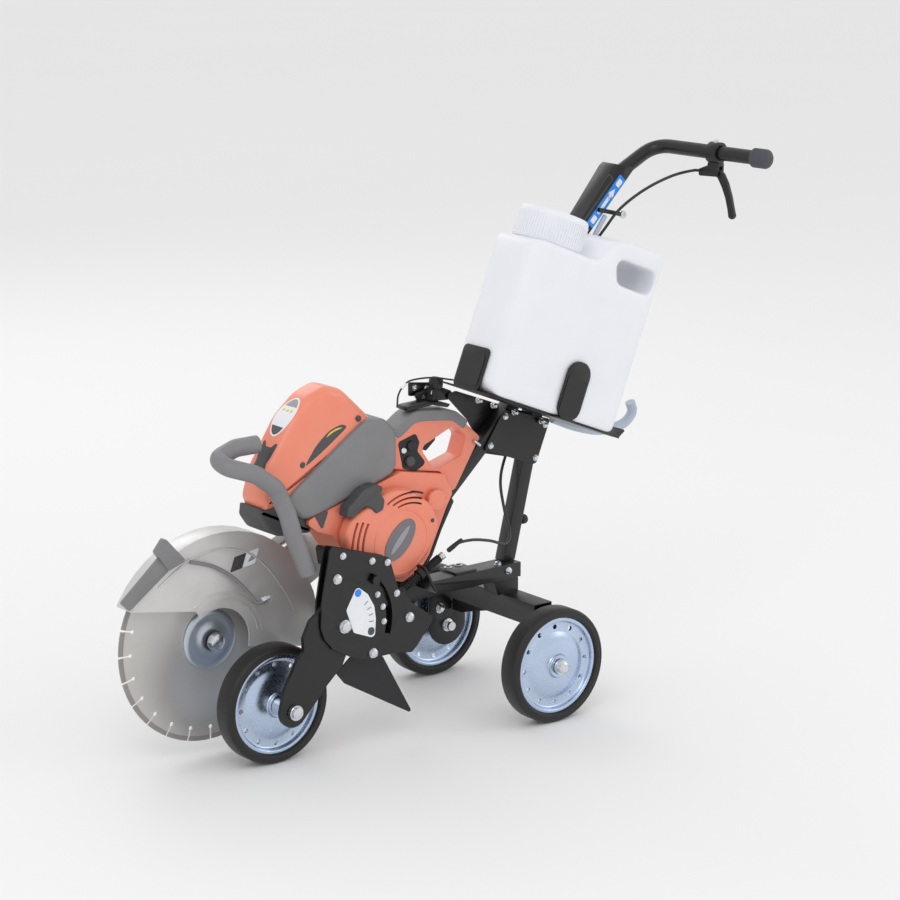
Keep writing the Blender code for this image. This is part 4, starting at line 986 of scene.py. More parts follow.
@dataclass
class DepthLinkage(SubAssembly):
    """Two side plates, the arm that swings between them, the lock, the scale and the flap."""

    pivot: tuple[float, float] = (100.6, 230.5)
    near_y: float = -48.0
    far_y: float = -28.0
    top_bolt: tuple[float, float] = (86.0, 314.5)
    low_bolt: tuple[float, float] = (159.0, 173.0)
    tail_bolt: tuple[float, float] = (236.0, 221.0)
    saddle_bolts: tuple = ((98.0, 352.0), (158.0, 333.0))
    strip_bolts: tuple = ((190.0, 325.0), (209.0, 268.0))
    socket_screws: tuple = ((169.0, 273.0), (180.0, 250.0), (182.0, 224.0))
    axle_height: float = 101.5

    def build(self) -> None:
        """Make every piece of the linkage."""
        self.plates()
        self.bolts()
        self.scale()
        self.lock()

    def plates(self) -> None:
        """Dress the plates, arm and flap."""
        for node in ("side_plate_left", "side_plate_right"):
            self.bench.refine(node, POWDER_COAT, Part.CART, 0.7, 25)
        self.bench.refine("depth_arm", POWDER_COAT, Part.DEPTH_ARM, 0.7, 25)
        self.bench.refine("floor_flap", SOFT_RUBBER, Part.CART, 0.6, 25)
        self.bench.refine("front_saddle", POWDER_COAT, Part.CART, 0.7, 25)

    def shank(self, spot: Point, radius: float, nut: float, y_end: float) -> bmesh.types.BMesh:
        """Return the shank and nut of a bolt that comes in from the near side."""
        y0 = self.near_y - 0.3
        profile = [(0, 0), (radius, 0), (radius, y_end - y0), (nut, y_end - y0),
                   (nut, y_end - y0 + 1.2 * radius), (radius, y_end - y0 + 1.2 * radius),
                   (radius, y_end - y0 + 1.8 * radius), (0, y_end - y0 + 1.8 * radius)]
        return self.lathe(profile, (spot[0], y0, spot[1]), Y, 24)

    def bolts(self) -> None:
        """Make the linkage's bolts, with hexagon heads on the near plate."""
        y = self.near_y - 0.1
        far = self.far_y + 0.3
        shanks = joined(self.shank(self.pivot, 7.0, 12.0, far),
                        self.shank(self.top_bolt, 5.0, 8.5, far),
                        self.shank(self.low_bolt, 5.0, 8.5, far + 4.2))
        self.bench.seat("linkage_bolt_shanks", shanks, ZINC, Part.CART,
                        ["pivot_bolt", "side_bolt_top", "side_bolt_low"])
        px, pz = self.pivot
        self.repeat.heads("pivot_bolt_head", [(px, y, pz)], NEAR, 9.2, ZINC, Part.CART, 7.0)
        spots = [(x, y, z) for x, z in (self.top_bolt, self.low_bolt, self.tail_bolt)]
        self.repeat.heads("side_bolt_heads", spots, NEAR, 6.8, ZINC, Part.CART, 5.0)
        small = [(x, y, z) for x, z in (*self.saddle_bolts, *self.strip_bolts)]
        self.repeat.heads("edge_bolt_heads", small, NEAR, 4.8, ZINC, Part.CART, 3.6)
        sockets = [(x, y, z) for x, z in self.socket_screws]
        self.repeat.heads("slot_screw_heads", sockets, NEAR, 4.2, ZINC, Part.CART, 3.0, 20)
        x, z = 0.0, self.axle_height
        profile = [(0, -51), (12, -51), (13, -50), (13, -43.3), (8, -43.3), (8, -33.6), (16, -33.6),
                   (16, -1), (8, -1), (8, 40.3), (13, 40.3), (13, 47), (0, 48)]
        pin = self.lathe([(r, h) for r, h in profile], (x, 0, z), Y, 48)
        self.bench.seat("front_axle_pin", pin, ZINC, Part.DEPTH_ARM, ["front_axle"])
        self.repeat.heads("front_axle_head", [(x, -51, z)], NEAR, 9.5, ZINC, Part.DEPTH_ARM, 4.0)

    def scale(self) -> None:
        """Make the depth scale's film with its marks, with no lettering."""
        plate = bpy.data.objects["side_plate_left_body"]
        x0, z0 = 134.0, 246.0
        fan = [(126.5, 295), (104, 257.5), (119, 216), (156, 201), (163, 204), (165, 232), (162, 254),
               (149, 277)]
        outline = [(x - x0, z - z0) for x, z in rounded(fan, 7, 6)]
        centre = self.bench.world((x0, self.near_y, z0))
        self.bench.seat("depth_scale_film", film(plate, outline, centre, X, Z, 0.3, 4),
                        LABEL_WHITE, Part.CART)
        ring = [(x - x0, z - z0) for x, z in circle(128.5, 283, 6.8, 36)]
        self.bench.seat("depth_scale_dot", film(plate, ring, centre, X, Z, 0.5, 3), LABEL_BLUE,
                        Part.CART)
        mark = [(x - x0, z - z0) for x, z in circle(155, 212, 7.0, 36)]
        self.bench.seat("depth_scale_mark", film(plate, mark, centre, X, Z, 0.5, 3), LABEL_DARK,
                        Part.CART)
        px, pz = self.pivot
        facing = place_on(self.bench.world((px, self.near_y - 0.42, pz)), X, NEAR)
        sweep = math.radians(50)
        self.repeat.run("depth_scale_ticks", self.repeat.ring_tree(),
                        {"Count": 5, "Radius": 55 * MM, "Start": math.radians(-14), "Sweep": sweep,
                         "Bar": (0.009, 0.0011, 0.0003)}, LABEL_DARK, Part.CART, turn=facing)

    def lock(self) -> None:
        """Make the lock's plunger, threaded body and spring."""
        tilt = math.radians(26.6)
        along = Vector((math.cos(tilt), 0, math.sin(tilt)))
        reach = math.radians(14.2)
        px, pz = self.pivot
        tip = Vector((px + 106.5 * math.cos(reach), -38.0, pz + 106.5 * math.sin(reach)))
        r = 4.6
        rod = [(0, 0), (r - 1, 0), (r, 3), (r, 120), (r + 1.8, 120), (r + 1.8, 126), (0, 126)]
        self.bench.seat("lock_plunger_rod", self.lathe(rod, tip, along, 40), ZINC, Part.PLUNGER,
                        ["lock_plunger"])
        body = [(r + 0.4, 12), (6, 12), (6, 66), (10.5, 66), (10.5, 76), (7.5, 76)]
        for k in range(20):
            body += [(7.5, 76.5 + 2 * k), (6.7, 77.5 + 2 * k)]
        body += [(7.5, 116), (r + 0.4, 116)]
        self.bench.seat("lock_threaded_body", self.lathe(body, tip, along, 40), BLACK_OXIDE, Part.CART,
                        ["plunger_body"])
        side = along.orthogonal().normalized()
        other = along.cross(side)
        turns, steps = 7, 24
        helix = []
        for k in range(turns * steps + 1):
            a = math.tau * k / steps
            ring = (side * math.cos(a) + other * math.sin(a)) * 7.6
            helix.append(self.bench.world(tip + along * (31 + 33 * k / (turns * steps)) + ring))
        self.bench.seat("lock_spring_coil", swept(helix, 0.9, 10), BLACK_OXIDE, Part.CART,
                        ["plunger_spring"])


# ---------------------------------------------------------------------------------------------
# Welded cart, tray and tank
# ---------------------------------------------------------------------------------------------
@dataclass
class Cart(SubAssembly):
    """The welded frame, its fasteners and the rear axles."""

    rear_x: float = 499.0
    rear_left_y: float = -110.0
    rear_right_y: float = 226.0
    axle_height: float = 101.5
    mast_y: float = 30.0
    tube: float = 25.0
    mast_lean: float = 0.2456
    mast_foot: float = 508.5
    chassis_top: float = 256.0

    def mast_x(self, z: float) -> float:
        """Return the middle of the mast at a height."""
        return self.mast_foot + (z - self.chassis_top) * self.mast_lean

    def build(self) -> None:
        """Dress the welded pieces and add the fasteners."""
        for node in ("mast", "chassis_beam", "axle_frame", "main_tube"):
            self.bench.refine(node, POWDER_COAT, Part.CART, 1.6, 40, 3)
        for node in ("gusset_left", "gusset_right"):
            self.bench.refine(node, POWDER_COAT, Part.CART, 0.6, 25)
        self.axles()
        self.fasteners()
        self.mast_knob()

    def axles(self) -> None:
        """Make both rear axles with their washers and heads."""
        x, z = self.rear_x, self.axle_height
        y = self.rear_left_y - 20.3
        near = [(0, -4), (12.4, -4), (13, -3.4), (13, 0), (8, 0), (8, 68.3), (0, 68.3)]
        self.bench.seat("rear_left_axle_pin", self.lathe(near, (x, y, z)), ZINC, Part.CART,
                        ["rear_left_axle"])
        self.repeat.heads("rear_left_axle_head", [(x, y - 6, z)], NEAR, 10.5, ZINC, Part.CART, 8.0)
        y = self.rear_right_y + 20.3
        far = [(0, -80.3), (8, -80.3), (8, 0), (13, 0), (13, 6), (11.5, 7), (0, 7)]
        self.bench.seat("rear_right_axle_pin", self.lathe(far, (x, y, z)), ZINC, Part.CART,
                        ["rear_right_axle"])
        self.repeat.heads("rear_right_axle_nut", [(x, 179.4, z)], NEAR, 9.5, ZINC, Part.CART, 7.0)
        plate = [(x - 18, -88.7, 136), (x + 18, -88.7, 136)]
        self.repeat.heads("axle_plate_heads", plate, NEAR, 6.4, ZINC, Part.CART, 4.5)
        far_plate = [(x - 18, 179.4, 136), (x + 18, 179.4, 136)]
        self.repeat.heads("far_axle_plate_heads", far_plate, NEAR, 7.5, ZINC, Part.CART, 4.5)

    def fasteners(self) -> None:
        """Stand bolt heads on the gusset, the chassis and the tab plate."""
        y = self.mast_y - self.tube / 2 - 3.9
        gusset = [(495, y, 518), (585, y, 490), (563, y, 434), (462, y, 471)]
        self.repeat.heads("gusset_heads", gusset, NEAR, 4.4, ZINC, Part.CART, 3.0, 20)
        floor_pins = [(429, 8, 557), (462, 8, 543.6), (509, 8, 524.6), (570, 8, 500)]
        self.repeat.heads("tray_pin_heads", floor_pins, NEAR, 4.0, ZINC, Part.CART, 7.0, 20)
        far = self.mast_y + self.tube / 2 + 4.4
        other = [(500, far, 517), (576, far, 490), (556, far, 437), (425, far, 545)]
        self.repeat.heads("far_gusset_heads", other, Y, 5.4, ZINC, Part.CART, 4.0)
        top = [(300, 12, self.chassis_top), (478, 12, self.chassis_top)]
        self.repeat.heads("chassis_top_heads", top, Z, 5.4, ZINC, Part.CART, 4.2)
        tab = [(389, 40, 260.4), (412, 40, 260.4)]
        rings = joined(*[self.lathe([(4.6, 0), (7.4, 0), (7.4, 0.8), (4.6, 0.8)], spot, Z, 28)
                         for spot in tab])
        self.bench.seat("tab_hole_collars", rings, ZINC, Part.CART)
        side = [(492, -0.2, 245)]
        self.repeat.heads("chassis_side_heads", side, NEAR, 5.0, ZINC, Part.CART, 3.6)

    def mast_knob(self) -> None:
        """Make the short black thumb screw at the back of the mast."""
        z = 322.0
        x = self.mast_x(z) + 13.2
        profile = [(0, 0), (4, 0), (4, 5), (7.5, 6), (8.5, 8), (8.5, 15), (7.5, 17), (0, 17)]
        self.bench.seat("mast_thumb_screw", self.lathe(profile, (x, self.mast_y, z), X, 32),
                        BLACK_NYLON, Part.CART)


@dataclass
class TankUnit(SubAssembly):
    """The folded tray and the blow-moulded water tank with its screw cap."""

    tray_at: tuple[float, float] = (357.0, 600.0)
    tilt: float = 22.0
    tank_length: float = 312.0
    tank_width: float = 125.0
    middle_y: float = -50.0
    front_height: float = 272.0
    rear_height: float = 322.0
    corner: float = 34.0
    side_corner: float = 22.0
    cap_radius: float = 61.5
    cap_height: float = 56.0
    cap_at: float = 76.0
    cap_ribs: int = 72

    def __post_init__(self) -> None:
        """Work out the tray's directions."""
        turn = math.radians(self.tilt)
        self.along = Vector((math.cos(turn), 0, -math.sin(turn)))
        self.up = Vector((math.sin(turn), 0, math.cos(turn)))
        self.foot = Vector((self.tray_at[0], 0, self.tray_at[1]))

    def at(self, s: float, y: float, h: float) -> Vector:
        """Return a place in frame metres: s along the tray, h above it."""
        return self.bench.world(self.foot + self.along * s + Y * y + self.up * h)

    def build(self) -> None:
        """Make the tray, the tank, the cap, the pads and the outlet hose."""
        self.bench.refine("tray", POWDER_COAT, Part.CART, 0.8, 30)
        self.tank()
        self.cap()
        self.pads()
        self.tap()

    def tank(self) -> None:
        """Make the tank as one soft moulding with panel recesses and a grip through its back."""
        w = self.tank_width
        half = w / 2
        plan = rounded([(0.8, -half + 0.8), (self.tank_length - 0.8, -half + 0.8),
                        (self.tank_length - 0.8, half - 0.8), (0.8, half - 0.8)], self.corner, 10)
        body = sheet([plan], lambda s, y: self.at(s, self.middle_y + y, 0.5),
                     self.up * (self.rear_height - 1) * MM)
        rise = self.rear_height
        end = self.tank_length - 0.8
        shape = rounded([(0.8, 0.5), (end, 0.5), (end, rise - 0.5), (206, rise - 0.5), (176, rise - 8),
                         (150, self.front_height), (0.8, self.front_height)], self.side_corner, 8)
        through = self.tank_width * 2
        side = sheet([shape], lambda s, h: self.at(s, self.middle_y - w, h), Y * through * MM)
        body = carved(body, side, "INTERSECT")
        grip = rounded([(186, rise - 34), (292, rise - 34), (286, rise - 76), (206, rise - 76)], 16, 6)
        body = carved(body, sheet([grip], lambda s, h: self.at(s, self.middle_y - w, h),
                                  Y * through * MM))
        for edge in (-half, half):
            sign = 1 if edge > 0 else -1
            panel = rounded([(34, 26), (self.tank_length - 30, 26), (self.tank_length - 30, 214),
                             (34, 214)], 26, 6)
            y = self.middle_y + edge
            body = carved(body, sheet([panel], lambda s, h: self.at(s, y + sign * 6, h),
                                      Y * -sign * 8.2 * MM))
        neck = turned([(0, -10), (52, -10), (52, 20), (47, 20), (47, -6), (0, -6)],
                      self.at(self.cap_at, self.middle_y, self.front_height), self.up, 64)
        body = carved(body, neck, "UNION")
        mesh = bpy.data.meshes.new("tank_block")
        body.to_mesh(mesh)
        body.free()
        obj = bpy.data.objects.new("tank_block", mesh)
        bpy.context.scene.collection.objects.link(obj)
        remesh = obj.modifiers.new("voxels", "REMESH")
        remesh.mode = "VOXEL"
        remesh.voxel_size = 0.0028
        soft = obj.modifiers.new("soft", "SMOOTH")
        soft.factor = 0.6
        soft.iterations = 30
        baked = plain_copy(obj)
        bpy.data.objects.remove(obj, do_unlink=True)
        self.bench.seat("tank_shell", baked, POLYETHYLENE, Part.CART, ["tank"], sharp=70)

    def cap(self) -> None:
        """Make the wide screw cap with its gripping ribs."""
        r, h = self.cap_radius - 1.4, self.cap_height
        profile = [(0, 20.5), (52.4, 20.5), (52.4, 0), (r - 2, 0), (r - 0.6, 0.6), (r, 2), (r, h - 7),
                   (r - 1, h - 4), (r - 3, h - 1.6), (r - 6, h - 0.4), (r - 10, h), (r - 13, h - 0.6),
                   (r - 15, h - 2.6), (0, h - 2.6)]
        at = self.at(self.cap_at, self.middle_y, self.front_height + 0.3)
        self.bench.seat("tank_cap_shell", turned(profile, at, self.up, 96), POLYETHYLENE,
                        Part.TANK_CAP, ["tank_cap"], 40)
        turn = place_on(at + self.up * 24 * MM, self.along, self.up)
        self.repeat.run("tank_cap_ribs", self.repeat.ring_tree(),
                        {"Count": self.cap_ribs + 1, "Radius": (r + 0.2) * MM, "Start": 0.0,
                         "Sweep": math.tau,
                         "Bar": (0.0022, 0.0024, 0.042)},
                        POLYETHYLENE, Part.TANK_CAP, turn=turn)

    def pads(self) -> None:
        """Lay thin rubber pads on the outer faces of both tabs."""
        front = rounded([(self.middle_y - 28, 6), (self.middle_y + 28, 6), (self.middle_y + 28, 60),
                         (self.middle_y - 28, 60)], 5, 5)
        self.bench.seat("front_tab_pad", sheet([front], lambda y, h: self.at(-3.6, y, h),
                                               self.along * -1.2 * MM), SOFT_RUBBER, Part.CART)
        edge = self.middle_y - self.tank_width / 2 - 3.6
        side = rounded([(154, 6), (199, 6), (199, 72), (154, 72)], 5, 5)
        self.bench.seat("side_tab_pad", sheet([side], lambda s, h: self.at(s, edge, h),
                                              Y * -1.2 * MM), SOFT_RUBBER, Part.CART)

    def tap(self) -> None:
        """Make the pale outlet hose that comes round below the tank and up behind it."""
        knots = [(612, 25, 496), (664, 25, 474), (723, 25, 458), (776, 25, 461), (799, 25, 480),
                 (794, 25, 499)]
        line = flowing([self.bench.world(k) for k in knots], 6)
        self.bench.seat("tank_outlet_hose", swept(line, 9.0, 28), PALE_POLYETHYLENE, Part.CART,
                        sharp=60)


# ---------------------------------------------------------------------------------------------
# Handle and cables
# ---------------------------------------------------------------------------------------------
@dataclass
class Handle(SubAssembly):
    """The column, the bent bar with its plug, the lock lever and its cable."""

    bar_radius: float = 12.5
    foot: tuple = (750.0, 30.0, 908.0)
    bend: tuple = (849.0, 30.0, 957.0)
    end: tuple = (889.0, -206.0, 954.0)
    bend_radius: float = 42.0
    lever_at: float = 0.56

    def build(self) -> None:
        """Make every piece of the handle."""
        self.column()
        self.bar()
        self.lever()
        self.cable()

    def column(self) -> None:
        """Dress the column and add its blue film strip and guide tube."""
        self.bench.refine("handle_column", POWDER_COAT, Part.CART, 0.9, 30)
        body = bpy.data.objects["handle_column_body"]
        y = 13.0
        along = Vector((776 - 660, 0, 920 - 803)).normalized()
        across = Vector((-along.z, 0, along.x))
        centre = self.bench.world(Vector((712, y, 862)))
        across_film = rounded([(-42, -9), (66, -9), (66, 9), (-42, 9)], 2, 3)
        self.bench.seat("column_blue_film", film(body, across_film, centre, along, across, 0.3, 4),
                        LABEL_BLUE, Part.CART)
        # The slot is drawn as two films: the black film in the middle is painted shade for the slot's dark opening,
        # and the lighter steel rim round it is a painted highlight along the slot's edges.
        frame = rounded([(-52, -7.5), (50, -7.5), (50, 7.5), (-52, 7.5)], 3, 4)
        slot = rounded([(-50.5, -6), (48.5, -6), (48.5, 6), (-50.5, 6)], 2, 4)
        left = centre + across * 23 * MM
        self.bench.seat("column_slot_rim", film(body, frame, left, along, across, 0.3, 3), DARK_STEEL,
                        Part.CART)
        self.bench.seat("column_slot", film(body, slot, left, along, across, 0.5, 3), BLACK_NYLON,
                        Part.CART)
        self.bench.seat("cable_bracket_arm", self.rod((700, 10, 858), (752, 10, 845), 4.0, 24),
                        POWDER_COAT, Part.CART)
        eye = self.lathe([(3, -4), (6.5, -4), (7, -3), (7, 3), (6.5, 4), (3, 4)], (756, 10, 844), Y, 32)
        self.bench.seat("cable_bracket_eye", eye, ZINC, Part.CART)
        self.bench.seat("cable_guide_tube", self.rod((717, 11, 846), (681, 11, 798), 4.4, 24),
                        PALE_POLYETHYLENE, Part.CART)
        arrow = [(-16, -3.2), (26, -3.2), (26, -6.6), (40, 0), (26, 6.6), (26, 3.2), (-16, 3.2)]
        self.bench.seat("column_arrow", film(body, arrow, centre, along, across, 0.55, 3),
                        LABEL_WHITE, Part.CART)
        blank = rounded([(46, -5), (60, -5), (60, 5), (46, 5)], 2, 3)
        low = [(u - 82, v) for u, v in blank]
        for name, outline in (("column_blank_high", blank), ("column_blank_low", low)):
            self.bench.seat(name, film(body, outline, centre, along, across, 0.55, 2), LABEL_WHITE,
                            Part.CART)

    def bar(self) -> None:
        """Make the bent bar and the plug that closes it."""
        w = self.bench.world
        line = bent([w(self.foot), w(self.bend), w(self.end)], self.bend_radius, 24)
        self.bench.seat("handle_bar_tube", swept(line, self.bar_radius, 40), POWDER_COAT, Part.CART,
                        ["handle_bar"], 60)
        end, bend = Vector(self.end), Vector(self.bend)
        aim = (end - bend).normalized()
        plug = [(0, 24.6), (12.9, 24.6), (12.9, 0), (15, 0), (16.6, 1), (17, 2.6)]
        for k in range(5):
            plug += [(17, 5 + 4 * k), (16.3, 6 + 4 * k), (16.3, 7.2 + 4 * k), (17, 8 + 4 * k)]
        plug += [(17, 26), (15.6, 29.4), (13, 32), (9, 33.6), (0, 34.2)]
        self.bench.seat("handle_plug_cap", self.lathe(plug, end - aim * 24, aim, 64), GRIP_RUBBER,
                        Part.CART, ["handle_plug"], 40)

    def lever(self) -> None:
        """Dress the clamp and the lever."""
        self.bench.refine("lever_clamp", BLACK_NYLON, Part.CART, 0.9, 35)
        self.bench.refine("lock_lever", BLACK_NYLON, Part.LEVER, 1.6, 30, 3)
        end, bend = Vector(self.end), Vector(self.bend)
        at = bend + (end - bend) * self.lever_at
        screw = at + Vector((0, 0, self.bar_radius + 5.5))
        self.repeat.heads("lever_clamp_screw", [screw], Z, 4.0, ZINC, Part.CART, 3.4, 20)

    def cable(self) -> None:
        """Make the lock cable with its end boot."""
        end, bend = Vector(self.end), Vector(self.bend)
        aim = (end - bend).normalized()
        drop = bend + (end - bend) * self.lever_at - Z * (self.bar_radius + 4)
        start = drop - Z * 20 - aim * 31
        tilt, reach = math.radians(26.6), math.radians(14.2)
        along = Vector((math.cos(tilt), 0, math.sin(tilt)))
        tip = Vector((100.6 + 106.5 * math.cos(reach), -38.0, 230.5 + 106.5 * math.sin(reach)))
        last = tip + along * 137
        knots = [start, start - aim * 12 + Vector((-2, 0, 1)), (806, -62, 916), (770, -32, 892),
                 (738, -4, 858), (716, 12, 822), (694, 28, 784), (664, 44, 736), (632, 51, 676),
                 (600, 52, 600), (566, 52, 510), (530, 53, 440), (506, 40, 396), (494, 14, 350),
                 (498, 4, 310), (478, -6, 298), (432, -20, 314), (386, -32, 326),
                 last + along * 22, last]
        line = flowing([self.bench.world(k) for k in knots], 7)
        self.bench.seat("lock_cable_jacket", swept(line, 2.6, 16), CABLE_JACKET, Part.CART,
                        ["lock_cable"], 60)
        ferrule = [(0, 0.4), (3.4, 0.4), (4.2, 2.4), (4.2, 14), (3.4, 30), (2.7, 34), (0, 34)]
        self.bench.seat("cable_end_boot", self.lathe(ferrule, last, along, 32), SOFT_RUBBER, Part.CART)


# ---------------------------------------------------------------------------------------------
# Saw
# ---------------------------------------------------------------------------------------------
@dataclass
class BladeUnit(SubAssembly):
    """The segmented blade with its flanges, and the swinging guard with its water feed."""

    radius: float = 176.0
    thickness: float = 3.2
    at: tuple[float, float] = (-58.0, 200.0)
    y: float = 120.0
    segments: int = 24
    slot_depth: float = 22.0
    flange_radius: float = 51.5
    guard_near: float = 86.0
    guard_far: float = 133.0
    guard_radius: float = 199.0

    def build(self) -> None:
        """Make the blade, its hardware, the guard and the nozzle."""
        self.blade()
        self.flanges()
        self.guard()
        self.water()

    def blade(self) -> None:
        """Make the disc with its slots, and the thicker diamond segments on its rim."""
        bx, bz = self.at
        step = 360 / self.segments
        gap = math.degrees(1.3 / self.radius)
        outline = []
        for k in range(self.segments):
            a = step * k
            outline += arc(bx, bz, self.radius - 7, a + gap, a + step - gap, 6)
            c = math.radians(a + step)
            reach = self.radius - self.slot_depth
            outline += arc(bx + reach * math.cos(c), bz + reach * math.sin(c), 3.6,
                           a + step - 22, a + step - 338, 12)
        y0 = self.y - self.thickness / 2 + 0.3
        disc = self.flat(outline, y0, y0 + self.thickness - 0.6, [circle(bx, bz, 13, 36)])
        steel = TurnedFinish("ground_blade_steel", "#d6d4d1", "#c6c3c0", 0.36, metallic=0.6,
                             grain_mm=1.6, grain_depth=0.08, mottle_mm=60,
                             centre=tuple(self.bench.world((bx, self.y, bz))), ring_mm=1.6,
                             ring_depth=0.2, slot="machined_steel")
        self.bench.seat("blade_disc", disc, steel, Part.BLADE, ["blade"], 30)
        teeth = []
        for k in range(self.segments):
            a = step * k
            shape = (arc(bx, bz, self.radius, a + gap * 1.6, a + step - gap * 1.6, 6)
                     + arc(bx, bz, self.radius - 8, a + step - gap * 1.6, a + gap * 1.6, 6))
            teeth.append(self.flat(shape, self.y - self.thickness / 2, self.y + self.thickness / 2))
        self.bench.seat("blade_segments", joined(*teeth), SINTERED, Part.BLADE)

    def flanges(self) -> None:
        """Make both flanges, the arbor with its hexagon head and the pulley."""
        bx, bz = self.at
        f = self.flange_radius
        y0 = self.y - self.thickness / 2
        outer = [(13, -0.3), (f, -0.3), (f, -3.4), (f - 1.5, -4.4), (f - 5, -6), (f - 12, -6.6),
                 (f - 14, -5.8), (26, -6.2), (22, -8.6), (20, -9), (13, -9)]
        centre = tuple(self.bench.world((bx, self.y, bz)))
        steel = TurnedFinish("machined_flange_steel", "#c3ccd6", "#b6c0cb", 0.34, metallic=0.8,
                             grain_mm=5.0, grain_depth=0.02, rough_spread=0.03, centre=centre,
                             ring_mm=2.0, ring_depth=0.08, slot="machined_steel")
        self.bench.seat("flange_outer_disc", self.lathe(outer, (bx, y0, bz), Y, 96), steel,
                        Part.BLADE, ["flange_outer"], 30)
        for node in ("flange_inner", "arbor", "blade_pulley"):
            self.bench.refine(node, DARK_STEEL, Part.BLADE, 0.5, 30)
        self.repeat.heads("arbor_hexagon", [(bx, 97.5, bz)], NEAR, 13.0, ZINC, Part.BLADE, 7.0)

    def guard(self) -> None:
        """Dress the guard and add its cast ridges and blank label."""
        body = self.bench.refine("blade_guard", CAST_ALUMINIUM, Part.GUARD, 2.0, 28, 3)
        bx, bz = self.at
        ridges = []
        for radius, start, end in ((77, 8, 120), (86, 4, 126)):
            line = [self.bench.world((x, self.guard_near - 0.4, z))
                    for x, z in arc(bx, bz, radius, start, end, 60)]
            ridges.append(swept(line, 1.7, 12, 0.8))
        crest = ((-176, 318), (-120, 350), (-60, 362), (0, 346), (46, 306), (84, 250), (98, 214))
        spine = flowing([self.bench.world((x, self.guard_near - 0.6, z)) for x, z in crest], 6)
        ridges.append(swept(spine, 2.0, 12, 0.8))
        self.bench.seat("guard_cast_ridges", joined(*ridges), CAST_ALUMINIUM, Part.GUARD)
        centre = self.bench.world((-8, self.guard_near, 336))
        white = [(-2, -15), (23, -11), (32, 14), (7, 10)]
        dark = [(-27, -19), (-2.6, -15.1), (6.4, 9.9), (-18, 6)]
        for name, outline, finish in (("guard_label_white", white, LABEL_WHITE),
                                      ("guard_label_dark", dark, LABEL_DARK)):
            self.bench.seat(name, film(body, rounded(outline, 1.5, 3), centre, X, Z, 0.3, 4), finish,
                            Part.GUARD)
        triangle = rounded([(7, -8), (23, -3.5), (20, 8)], 1.5, 3)
        self.bench.seat("guard_label_shape", film(body, triangle, centre, X, Z, 0.5, 3), LABEL_GREY,
                        Part.GUARD)

    def water(self) -> None:
        """Dress the nozzle block and make the hose with its fitting."""
        self.bench.refine("water_nozzle", GREY_NYLON, Part.GUARD, 1.2, 30, 2)
        knots = [(-120, 76, 353), (-100, 74, 347), (-72, 73, 336), (-38, 72, 312), (-10, 70, 282),
                 (6, 66, 262), (24, 62, 268)]
        line = flowing([self.bench.world(k) for k in knots], 4)
        self.bench.seat("water_hose_line", swept(line, 3.4, 20), GREY_NYLON, Part.CART,
                        ["water_hose"], 60)
        way = Vector(knots[-1]) - Vector(knots[-2])
        nut = [(0, 0), (7, 0), (7, 9), (5, 10), (5, 15), (0, 15)]
        self.bench.seat("hose_fitting", self.lathe(nut, Vector(knots[-1]) - way.normalized() * 12,
                                                   way, 6), ZINC, Part.CART)


